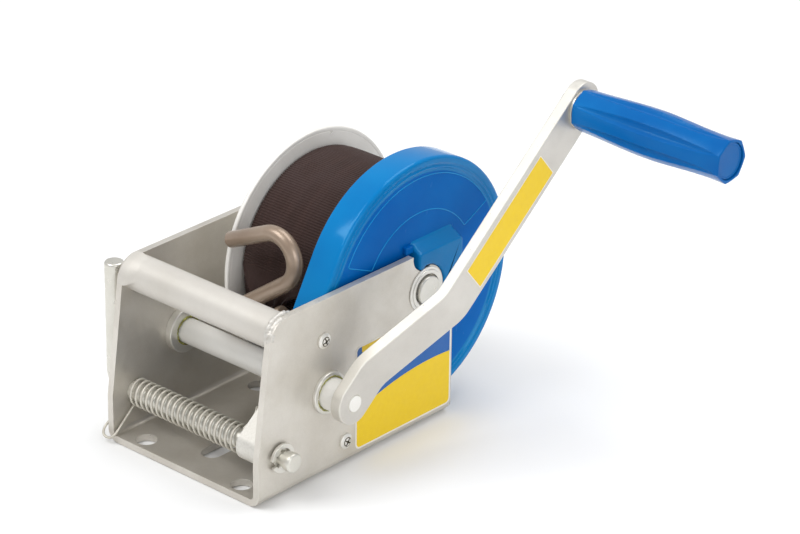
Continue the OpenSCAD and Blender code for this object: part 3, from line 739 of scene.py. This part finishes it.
def cover_rim():
    """The rim's (x, inset) section along the edge: wall, round shoulder, groove, ridge and small step."""
    back_x, wall = 42.2, 2.0
    section = rounded([(COVER_BACK, 0, 0.4), (44.9, 0, 3.3), (44.9, 3.4, 0.6), (44.3, 4.4, 0.6),
                       (45.0, 5.5, 0.5), (FACE_X, 6.4, 0.3), (FACE_X, 8.4, 0), (back_x, 8.4, 0),
                       (back_x, wall, 1.2), (COVER_BACK, wall, 0.4)], 6)
    lines = [(x, cover_edge(inset)) for x, inset in section]
    return skin([[Vector((x, *line[i])) for x, line in lines] for i in range(len(lines[0][1]))])


def cover_face():
    """The flat face inside the rim, with the web that reaches the two screws behind the plate."""
    edge = cover_edge(7.6)
    web = [(-21.5, 50), (-16, 22), (4, 8), (20, 8), (41, 15)]
    return slab([tuple(point) for point in edge] + web, 42.3, 44.12)


def cover_panel_line():
    """Closed (y, z) line of the fine raised outline on the face."""
    centre = Vector((AXLE.y + 1.6, AXLE.z - 0.8))
    start, end, outer_steps, inner_steps = 31, 152, 60, 50
    points = [centre + polar(56.2, angle) for angle in count(start, end, outer_steps)]
    points += [centre + polar(38.4, angle) for angle in count(end - 2, start + 2, inner_steps)]
    arc_ends = (0, outer_steps, outer_steps + 1, len(points) - 1)
    corners = [(*point, 1.2 if i in arc_ends else 0) for i, point in enumerate(points)]
    return [Vector(point) for point in rounded(corners, 4)]


def raised_line(line, x, width, height):
    """A fine ridge along a closed (y, z) line."""
    section = [(-0.5, -0.1), (-0.5, 0.0), (-0.22, 1.0), (0.22, 1.0), (0.5, 0.0), (0.5, -0.1)]
    rings = []
    for i, point in enumerate(line):
        ahead = (line[(i + 1) % len(line)] - line[i - 1]).normalized()
        out = Vector((ahead.y, -ahead.x))
        rings.append([Vector((x + height * v, *(point + out * width * u))) for u, v in section])
    return skin(rings, path_closed=True)


def cover_clip():
    """The moulded clip that fills the plate's notch: a fillet up from the face, a sloping top, soft edges."""
    left, right, top = AXLE.y - 5.2, AXLE.y + 25.7, 96.3
    front_x, front_z, slope_z, fillet = SIDE_X + 0.8, 93.1, 89.0, 1.1
    axle, notch_at = Vector((AXLE.y, AXLE.z)), Vector((AXLE.y - 1.3, TOP_Z - 1.4))
    lobe = [(*(axle + polar(12.5, angle)), 0) for angle in count(-19, 92, 20)]
    notch = [(*(notch_at + polar(7.3, angle)), 0) for angle in count(-100, -122, 4)]
    corners = [(right, 69.0, 1.5)] + lobe + notch
    corners += [(left, top - 6.5, 1.5), (left, top, 2.0), (right, top, 3.4)]
    outline = [Vector(point) for point in rounded(corners, 6)]
    # how high the top stands at each x, and how far the outline has drawn in
    profile = [(43.8, 98.2, 0), (44.15, 97.4, 0), (44.5, 96.8, 0), (45.0, 96.4, 0), (45.6, 96.1, 0),
               (46.2, 95.7, 0), (front_x - fillet, front_z, 0)]
    for k, (short, drop) in enumerate(quarter_round(fillet, 6)[1:], 1):
        profile.append((front_x - short, front_z - 0.5 * k / 6, drop))
    rings = []
    for x, height, depth in profile:
        scale = (height - slope_z) / (top - slope_z)
        rings.append([Vector((x, y, z if z < slope_z else slope_z + (z - slope_z) * scale))
                      for y, z in inward(outline, depth)])
    return skin(rings)


def cover_bosses():
    """Sleeves behind the plate for the two screws."""
    bore, wall = 2.2, 4
    outline = rounded([(36, bore, 0.2), (36, wall, 0.5), (44, wall, 0), (44, bore, 0)])
    return joined(*[turned(outline, Vector((0, y, z)), 40) for y, z in SCREWS])


def cover_piece(name, shape, finish, replaced=(), crease=35):
    return new_piece(name, shape, finish, "frame", "cover_plastic", replaced, crease)


def make_cover():
    """The rim, the face with its two holes, the raised line, the clip, its tab and the bosses."""
    # rim and clip in the lighter copy of the blue (painted light); face, tab and bosses in the darker copy
    # (painted shade)
    cover_piece("gear_cover_shell", cover_rim(), RIM_LIT_BLUE, ["gear_cover"], 50)
    face = cover_piece("gear_cover_face", cover_face(), COVER)
    cut_with(face, 35, *[turned([(30, 0), (30, hole_r), (60, hole_r), (60, 0)], centre)
                         for hole_r, centre in ((12, SHAFT), (11.5, AXLE))])
    cover_piece("gear_cover_panel_line", raised_line(cover_panel_line(), FACE_X, 0.6, 0.28), LINE_HIGHLIGHT_BLUE,
                crease=60)
    cover_piece("gear_cover_clip", cover_clip(), RIM_LIT_BLUE, crease=50)
    left, right, base = AXLE.y - 10.2, AXLE.y - 5.0, TOP_Z + 0.1
    outline = [(left, base), (right, base), (right, base + 3.9), (left, base + 3.7)]
    soften(cover_piece("gear_cover_tab", slab(outline, 43.8, 46.4), COVER), 0.5)
    cover_piece("gear_cover_bosses", cover_bosses(), COVER)


def make_screws():
    """Pan-head screws with a cross recess painted dark as shade."""
    head_x, head_r, dome_r, shank_r = high("cover_screws").x, 3.9, 7.2, 2
    dome = [(head_x - dome_r * (1 - math.cos(math.asin(r / dome_r))), r) for r in count(0, head_r, 8)]
    outline = [(38, 0), (38, shank_r), (SIDE_X, shank_r), (SIDE_X, head_r - 0.1), (SIDE_X + 0.3, head_r)]
    outline += dome[::-1]
    half_long, half_wide, floor_x = 2.3, 0.52, head_x - 1.1
    for number, (y, z) in enumerate(SCREWS):
        screw = new_piece(f"cover_screw_{number + 1}", turned(outline, Vector((0, y, z)), 64), WORN_BRIGHT,
                          "frame", "bright_zinc", ["cover_screws"] if number == 0 else [])
        turn = 20 + 35 * number
        slots = []
        for arm in (turn, turn + 90):
            ahead, aside = polar(half_long, arm), polar(half_wide, arm + 90)
            tip = aside * 0.4
            corners = [ahead + tip, aside, tip - ahead, -ahead - tip, -aside, ahead - tip]
            slots.append(slab([(y + a, z + b) for a, b in corners], floor_x, head_x + 1))
        cut_with(screw, 35, *slots)
        # the recess floor and walls take the dark zinc: painted shade
        screw.data.materials.append(RECESS_SHADE)
        for face in screw.data.polygons:
            off = Vector(face.center) / MM - Vector((0, y, z))
            is_central = math.hypot(off.y, off.z) < half_long + 0.05
            if floor_x - 0.01 < off.x < head_x - 0.25 and is_central:
                face.material_index = 1


# --- labels ---


def make_frame_label():
    """Layers of film: a pale border, a blue field, a yellow panel under an arch and a yellow strip above."""
    start, end = low("frame_decal"), high("frame_decal")
    radius, border = 3.0, 0.9
    left, right, top = start.y + border, end.y - border, end.z - border
    cut_y, cut_z = right - 7.5, top - 11.5      # the plate's edge slopes off the label's top rear corner

    def layer(name, corners, x0, x1, finish, replaced=()):
        outline = [tuple(point) for point in rounded(corners)]
        new_piece(name, slab(outline, SIDE_X + x0, SIDE_X + x1), finish, "frame", "frame_film", replaced)

    def field(inset):
        fillet, off = radius - inset, border - inset
        front, rear, base = start.y + inset, end.y - inset, start.z + inset
        return [(front, base, fillet), (rear, base, fillet), (rear, cut_z + off, 0.5),
                (cut_y + off, end.z - inset, 0.5), (front, end.z - inset, fillet)]

    layer("frame_label_border", field(0), 0.01, 0.08, WHITE, ["frame_decal"])
    layer("frame_label_blue", field(border), 0.05, 0.12, BLUE)
    crown_y, crown_z, rise, reach = AXLE.y + 4.8, 34.5, 4.3, 36
    arch = [(y, crown_z - rise * ((y - crown_y) / reach) ** 2, 0) for y in count(right, left, 24)]
    layer("frame_label_yellow", field(border)[:2] + arch, 0.1, 0.15, YELLOW)
    strip = [(left + 3.2, top - 3.0, 0.3), (left + 22, top - 3.0, 0.3), (left + 25, top, 0.3),
             (left + 3.2, top, 0.3)]
    layer("frame_label_strip", strip, 0.1, 0.15, YELLOW)


def on_crank(x, s, across):
    """Place on the crank: s along the bar from the shaft, across it at right angles."""
    y, z = polar(s, CRANK_TURN) + polar(across, CRANK_TURN + 90)
    return Vector((x, SHAFT.y + y, SHAFT.z + z))


def make_crank_label():
    """Strip of yellow film on a slightly larger pale one."""
    face = low("crank_decal").x
    # the strip's ends and sides, from the CAD strip's corners in the crank's own directions
    spots = [vertex.co / MM - SHAFT for vertex in NODES["crank_decal"].data.vertices]
    ahead, aside = polar(1, CRANK_TURN), polar(1, CRANK_TURN + 90)
    lengths = [ahead.x * spot.y + ahead.y * spot.z for spot in spots]
    widths = [aside.x * spot.y + aside.y * spot.z for spot in spots]
    for name, inset, finish, x0, x1, replaced in (
            ("crank_label_border", 0, WHITE, 0.01, 0.1, ["crank_decal"]),
            ("crank_label_yellow", 0.45, YELLOW, 0.06, 0.15, [])):
        s0, s1 = min(lengths) + inset, max(lengths) - inset
        w0, w1 = min(widths) + inset, max(widths) - inset
        corners = rounded([(s0, w0, 0.4), (s1, w0, 0.4), (s1, w1, 0.4), (s0, w1, 0.4)])
        rings = [[on_crank(face + x, s, across) for s, across in corners] for x in (x0, x1)]
        new_piece(name, skin(rings), finish, "crank", "crank_film", replaced)


# --- drum ---


def make_drum():
    """Axle, flanges, gear and rivets, and the paint on the CAD nodes inside."""
    end = high("drum_axle").x
    radius = high("drum_axle").z - AXLE.z
    outline = rounded([(-end, 0, 0), (-end, radius, 0.7), (end, radius, 0.7), (end, 0, 0)], closed=False)
    new_piece("drum_axle_bar", turned(outline, AXLE), BRIGHT, "drum", "bright_zinc", ["drum_axle"])
    make_left_flange(radius)
    for node, name in (("right_flange", "right_flange_disc"), ("drum_spacer", "drum_spacer_ring")):
        dressed(node, name, 0.3, FLANGE, SHEET_EDGE, "zinc_sheet")
    dressed("drum_gear", "drum_gear_wheel", 0.22, GEAR, GEAR, "gear_steel")
    dressed("gear_rivets", "gear_rivet_heads", 0.25, BRIGHT, WORN_BRIGHT, "bright_zinc")
    paint_node("drum_tube", TUBE)
    paint_node("strap_pin", BRIGHT)


def make_left_flange(bore):
    """Disc with a shallow groove inside its round rim, and a small nick beside the groove."""
    back, face = low("left_flange").x, high("left_flange").x
    rim = high("left_flange").z - AXLE.z
    outline = rounded([(back, bore, 0), (back, rim, 1.1), (face, rim, 1.1), (face, rim - 1.9, 0.3),
                       (face - 0.12, rim - 2.2, 0.1), (face, rim - 2.5, 0.3), (face, bore, 0)], 6)
    flange = new_piece("left_flange_disc", turned(outline, AXLE, 160), FLANGE, "drum", "zinc_sheet",
                       ["left_flange"], 50)
    nick_at, half_width = 77, 1.2
    nick = [around(AXLE, rim - drop, nick_at + turn, face + 0.1)
            for drop, turn in ((2.4, -half_width), (4.0, 0), (2.4, half_width))]
    cut_with(flange, 50, skin([[point + X_AXIS * dx for point in nick] for dx in (-0.6, 0.3)]))


# --- webbing ---

ROLL_R = high("webbing_roll").z - AXLE.z
ROLL_X0, ROLL_X1 = low("webbing_roll").x, high("webbing_roll").x
ROLL_W, ROLL_MID = ROLL_X1 - ROLL_X0, (ROLL_X0 + ROLL_X1) / 2
STRAP_T = 1.3
RIBS = 236                          # woven ribs round the whole roll
RIB_STEPS = 6
RIB_DEPTH = 0.32
LIFT_AT, LEAVE_AT = 8.0, 171.0      # where the last turn starts to lie on the roll, and where it leaves it


def rib(angle):
    """Drop of the surface between two ribs."""
    return RIB_DEPTH * (0.5 - 0.5 * cosine(angle * RIBS)) ** 1.5


def make_roll():
    """The outer turn, with its woven ribs, and under it the edges of the other turns."""
    inner, core, turns, slack = ROLL_R - STRAP_T, 16.0, 28, 0.05
    rings = []
    for k in range(RIBS * RIB_STEPS):
        angle = 360 * k / (RIBS * RIB_STEPS)
        ring = [around(AXLE, inner, angle, ROLL_X1), around(AXLE, inner, angle, ROLL_X0)]
        for t in count(0, 1, 14):
            edge = 0.35 * (abs(2 * t - 1) ** 14)
            ring.append(around(AXLE, ROLL_R - edge - rib(angle), angle, ROLL_X0 + ROLL_W * t))
        rings.append(ring)
    new_piece("webbing_outer_turn", skin(rings, path_closed=True), WEBBING, "drum", "webbing",
              ["webbing_roll"], 75)
    last = inner - slack
    pitch = (last - core) / turns
    left, right = [], []
    for turn in range(turns):
        shift = random.uniform(0, 0.35)
        for part, dip in ((0.0, 0.5), (0.3, 0.0), (0.7, 0.0)):
            radius = core + pitch * (turn + part)
            left.append((ROLL_X0 + shift + dip, radius))
            right.append((ROLL_X1 - shift - dip, radius))
    outline = left + [(ROLL_X0 + 0.5, last), (ROLL_X1 - 0.5, last)] + right[::-1]
    new_piece("webbing_inner_turns", turned(outline, AXLE, 96), WEBBING, "drum", "webbing", crease=30)


def strap_section(centre, along, out, width, pleat=0.0, dent=0.0):
    """Closed ring of points across the strap, with soft edges and optional pleats."""
    upper, lower = [], []
    for u in count(-1, 1, 20):
        half_t = STRAP_T / 2 * (1 - 0.75 * abs(u) ** 8)
        middle = centre + along * (u * width / 2) + out * (pleat * math.sin(u * 3.5 * math.pi))
        upper.append(middle + out * (half_t - dent))
        lower.append(middle - out * half_t)
    return upper + lower[::-1]


def strap_on_roll():
    """Sections of the last turn, from inside the roll's surface to lying on it."""
    middle = Vector((ROLL_MID, AXLE.y, AXLE.z))
    rings = []
    for angle in count(LIFT_AT, LEAVE_AT, int((LEAVE_AT - LIFT_AT) / 360 * RIBS * RIB_STEPS)):
        radius = ROLL_R - 0.85 + 1.6 * ease((angle - LIFT_AT) / 40)
        centre = around(AXLE, radius, angle, ROLL_MID)
        rings.append(strap_section(centre, X_AXIS, (centre - middle).normalized(), ROLL_W, dent=rib(angle)))
    return rings


def strap_gathered(start, end, along_end, out_end, up, loop_w):
    """Sections of the free stretch, which narrows in pleats on its way from the roll to the loop."""
    heading = Vector((0, -sine(LEAVE_AT), cosine(LEAVE_AT)))
    near_start, near_end = start + heading * 7, end + up * 6
    out_start = (start - Vector((ROLL_MID, AXLE.y, AXLE.z))).normalized()
    rings = []
    for t in count(0, 1, 40)[1:]:
        centre = (start * (1 - t) ** 3 + near_start * 3 * t * (1 - t) ** 2
                  + near_end * 3 * t * t * (1 - t) + end * t ** 3)
        turn = ease(t)
        along = X_AXIS.lerp(along_end, turn).normalized()
        out = out_start.lerp(out_end, turn)
        out = (out - along * out.dot(along)).normalized()
        pleat = 0.9 * ease(t * 1.3) * (1 - ease((t - 0.8) * 5))
        width = ROLL_W + (loop_w - ROLL_W) * ease(t * 1.05)
        rings.append(strap_section(centre, along, out, width, pleat, rib(LEAVE_AT + 60 * t)))
    return rings


def make_strap_end():
    """The strap's last turn, over the top of the roll and down its front, gathered into the sewn loop."""
    rod = Vector(JOINTS["hook_swing"]["axis"]).normalized()
    back = (Vector((0, 1, 0)) - rod * rod.y).normalized()
    up = rod.cross(back)
    hook_r, play, loop_w = 4.0, 0.12, 13.4
    loop_r = hook_r + play + STRAP_T / 2
    rings = strap_on_roll()
    leave = around(AXLE, ROLL_R + 0.75, LEAVE_AT, ROLL_MID)
    rings += strap_gathered(leave, EYE + back * loop_r, rod, -back, up, loop_w)
    for angle in count(0, -285, 60)[1:]:
        spoke = back * cosine(angle) + up * sine(angle)
        rings.append(strap_section(EYE + spoke * loop_r, rod, -spoke, loop_w))
    new_piece("strap_end_webbing", skin(rings), WEBBING, "frame", "webbing", ["strap_end"], 75)


# --- shaft and crank ---


def make_crank():
    """The stepped shaft with its riveted end, the bent bar, and the dressed small parts that ride with it."""
    left, right = low("input_shaft").x, high("input_shaft").x
    face, step_x = low("crank_arm").x, 18
    thin, journal, tenon = 6.25, 7.9, 4.05
    outline = rounded([(left, 0, 0), (left, thin, 0.8), (step_x, thin, 0), (step_x, journal, 0.4),
                       (face, journal, 0.4), (face, tenon, 0), (right, tenon, 0.35),
                       (right - 0.12, 3.0, 0.5), (right - 0.12, 0, 0)], closed=False)
    new_piece("input_shaft_bar", turned(outline, SHAFT), SHAFT_ZINC, "crank", "bright_zinc", ["input_shaft"])
    def is_edge(_, normal):
        across = normal.y * sine(CRANK_TURN) - normal.z * cosine(CRANK_TURN)
        return abs(across) > 0.6 or abs(normal.x) < 0.3

    dressed("crank_arm", "crank_bar", 0.6, CRANK, CRANK_EDGE, "crank_zinc", is_edge)
    dressed("drive_pinion", "drive_pinion_gear", 0.25, GEAR, GEAR, "gear_steel")
    dressed("grip_washer", "grip_washer_ring", 0.2, BRIGHT, WORN_BRIGHT, "crank_zinc")
    dressed("grip_spindle", "grip_spindle_rivet", 0.5, BRIGHT, WORN_BRIGHT, "bright_zinc")
    dressed("spindle_nut", "spindle_push_nut", 0.2, BRIGHT, WORN_BRIGHT, "bright_zinc")
    paint_node("pinion_pin", BRIGHT)


# --- grip ---

GRIP_X0, GRIP_X1 = low("grip_sleeve").x, high("grip_sleeve").x
FLUTES = 7
FLUTE_AT = 150                      # angle of one flute
PARTING_START, PARTING_END = 0.524, 0.532


def grip_radius(t):
    """Barrel of the grip along its length, t from 0 at the crank to 1 at the outer end."""
    end_r, belly_r = 10.6, 12.6
    if t < 0.5:
        swell = end_r + (belly_r - end_r) * ease(t / 0.5) ** 0.8
    else:
        swell = belly_r - 1.75 * ease((t - 0.5) / 0.42) ** 0.9
    return swell + 0.1 * ease((t - 0.92) / 0.06)


def grip_cut(t, angle):
    """Drop below the round barrel: flat lands that meet in corners, and lens-shaped flutes on the corners."""
    step = 360 / FLUTES
    off_corner = (angle - FLUTE_AT + step / 2) % step - step / 2
    off_land = step / 2 - abs(off_corner)
    flat = grip_radius(t) * 0.7 * (1 - math.cos(math.pi / FLUTES) / cosine(off_land))
    reach = math.sin(math.pi * min(max((t - 0.02) / 0.95, 0), 1)) ** 0.7
    half_width = 3 + 12.5 * reach
    flute = 2.3 * reach * max(0, 1 - (off_corner / half_width) ** 2)
    if PARTING_START < t < PARTING_END:
        flute *= 0.93
    return max(flat, flute)


def make_grip():
    """Fluted sleeve with a rim round a recessed plain cap."""
    sides, length, bore = 252, GRIP_X1 - GRIP_X0, 5.2
    cap_r, gap, floor_x, top = 9.0, 0.05, low("grip_cap").x, high("grip_cap").x

    def ring(x, radius, t=None):
        angles = [360 * k / sides for k in range(sides)]
        return [around(GRIP, radius - (0 if t is None else grip_cut(t, angle)), angle, x) for angle in angles]

    rings = [ring(GRIP_X0 + short, grip_radius(0) - drop, 0)
             for short, drop in reversed(quarter_round(0.9, 5))]
    by_parting = [edge + side for edge in (PARTING_START, PARTING_END) for side in (-0.001, 0.001)]
    stations = sorted(count(0.02, 0.98, 96) + by_parting)
    rings += [ring(GRIP_X0 + length * t, grip_radius(t), t) for t in stations]
    rings += [ring(GRIP_X1 - short, grip_radius(1) - drop, 1) for short, drop in quarter_round(0.6, 5)]
    rings += [ring(GRIP_X1, cap_r + 0.3), ring(GRIP_X1 - 0.3, cap_r + gap), ring(floor_x - 2, cap_r + gap),
              ring(floor_x - 2, bore), ring(GRIP_X0, bore)]
    new_piece("grip_barrel", skin(rings, path_closed=True), GRIP_BLUE, "grip", "grip_plastic",
              ["grip_sleeve"], 28)
    outline = rounded([(floor_x, 0, 0), (floor_x, cap_r - gap, 0), (top, cap_r - gap, 0.35),
                       (top, 7.9, 0.2), (top - 0.25, 7.7, 0.1), (top - 0.25, 0, 0)], closed=False)
    new_piece("grip_end_cap", turned(outline, GRIP), GRIP_BLUE, "grip", "grip_plastic", ["grip_cap"])


# --- pawl ---


def make_pawl():
    """Rod with its clip groove and bent lever, the cast pawl, the clip and the wire spring."""
    radius, neck, bend = 4.8, 3.75, 7.5
    end, lever_x, top = high("pawl_rod").x, low("pawl_rod").x + radius, high("pawl_rod").z
    groove = low("e_clip").x
    straight = [(end, radius), (groove + 5.2, radius), (groove + 1.6, neck), (groove, neck),
                (groove - 0.05, radius), (40, radius), (0, radius), (-40, radius)]
    path = [Vector((x, ROD.y, ROD.z)) for x, _ in straight]
    centre = Vector((lever_x + bend, ROD.y, ROD.z + bend))
    path += [centre + Vector((u, 0, v)) for u, v in [polar(bend, angle) for angle in count(270, 180, 16)]]
    path += [Vector((lever_x, ROD.y, top - 20)), Vector((lever_x, ROD.y, top))]
    radii = [size for _, size in straight] + [radius] * (len(path) - len(straight))
    path, radii = round_ends(path, radii, 1.2)
    new_piece("pawl_rod_lever", swept(path, radii, 40, Vector((0, 1, 0))), BRIGHT, "pawl", "bright_zinc",
              ["pawl_rod"], 45)
    dressed("pawl", "pawl_casting", 0.5, CAST, CAST, "gear_steel")
    dressed("e_clip", "e_clip_ring", 0.35, WORN_BRIGHT, WORN_BRIGHT, "bright_zinc")
    paint_node("pawl_pin", BRIGHT)
    make_spring()


def make_spring():
    """Torsion spring: a leg hooked round the left plate's edge, the coils, and a leg over the pawl."""
    start_x, end_x, coil_r, wire = -45.0, 27.2, 6.4, 0.65
    first, last, per_turn = 262, 95 + 360 * 21, 26
    leg = [Vector((-51.6, FRONT_Y + 3.5, 9)),
           Vector((-51.8, FRONT_Y - 0.5, 6.4)),
           Vector((-51, FRONT_Y - 2.4, 3.6)),
           Vector((-48.3, FRONT_Y - 2.6, 2.6)),
           Vector((-46, FRONT_Y - 1.8, 3.2)),
           Vector((-45, FRONT_Y + 0.6, 5.2))]
    finish = [Vector((end_x + 0.6, ROD.y + 5.4, ROD.z + 9.6)),
              Vector((end_x + 0.9, ROD.y + 7.8, ROD.z + 15.2))]
    coils = []
    for angle in count(first, last, int((last - first) * per_turn / 360)):
        share = (angle - first) / (last - first)
        coils.append(around(ROD, coil_r, angle, start_x + (end_x - start_x) * share))
    leg += [leg[-1].lerp(coils[0], share) for share in (0.4, 0.85)]
    # the curves run one coil step further than they are kept, so that they join the coils smoothly
    lead = smoothed(leg + coils[:2], 8)[:-9]
    tail = smoothed([coils[-2], coils[-1]] + finish, 8)[9:]
    path = lead + coils + tail
    path, radii = round_ends(path, [wire] * len(path), 0.25, 3)
    spring = new_piece("pawl_spring_wire", swept(path, radii, 12, Vector((1, 0, 0.02))), WIRE, None,
                       "spring_wire", ["pawl_spring"], 60)
    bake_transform(spring)


# --- hook ---


def make_hook():
    """One bent rod, built from the leg that the strap's loop holds: eye, shank, bow and open leg."""
    radius, bow_r, eye_r = 4.0, 12.7, 5.9
    tip, shank, leg_half = 27, 32.8, 11.5
    slope, tip_slope = 36, 24.7
    lean = 88                       # the hook's plane stands almost upright

    def flat(place, distance, angle):
        u, v = polar(distance, angle)
        return (place[0] + u, place[1] + v)

    leg_start = flat((0, 0), -leg_half, slope)
    eye_c = flat(leg_start, eye_r, slope + 90)
    eye_end = flat(eye_c, eye_r, slope + 90)
    bow_start = flat(eye_end, shank, slope)
    bow_c = flat(bow_start, bow_r, slope + 90)
    route = [flat(leg_start, 2 * leg_half, slope)]
    route += [flat(eye_c, eye_r, angle) for angle in count(slope + 270, slope + 90, 30)]
    route += [flat(bow_c, bow_r, angle) for angle in count(slope - 90, 90 + tip_slope, 60)]
    route.append(flat(route[-1], tip, 180 + tip_slope))
    path = [EYE + Vector((u, v * cosine(lean), v * sine(lean))) for u, v in route]
    path, radii = round_ends(path, [radius] * len(path), 1.3)
    normal = Vector((0, sine(lean), -cosine(lean)))
    new_piece("s_hook_rod", swept(path, radii, 48, normal), HOOK, "hook", "hook_steel", ["s_hook"], 60)


# --- all together ---

make_camera()
make_studio()
make_floor()
make_frame()
make_axle_bushes()
make_input_bushes()
make_cover()
make_screws()
make_frame_label()
make_drum()
make_roll()
make_strap_end()
make_crank()
make_crank_label()
make_grip()
make_pawl()
make_hook()
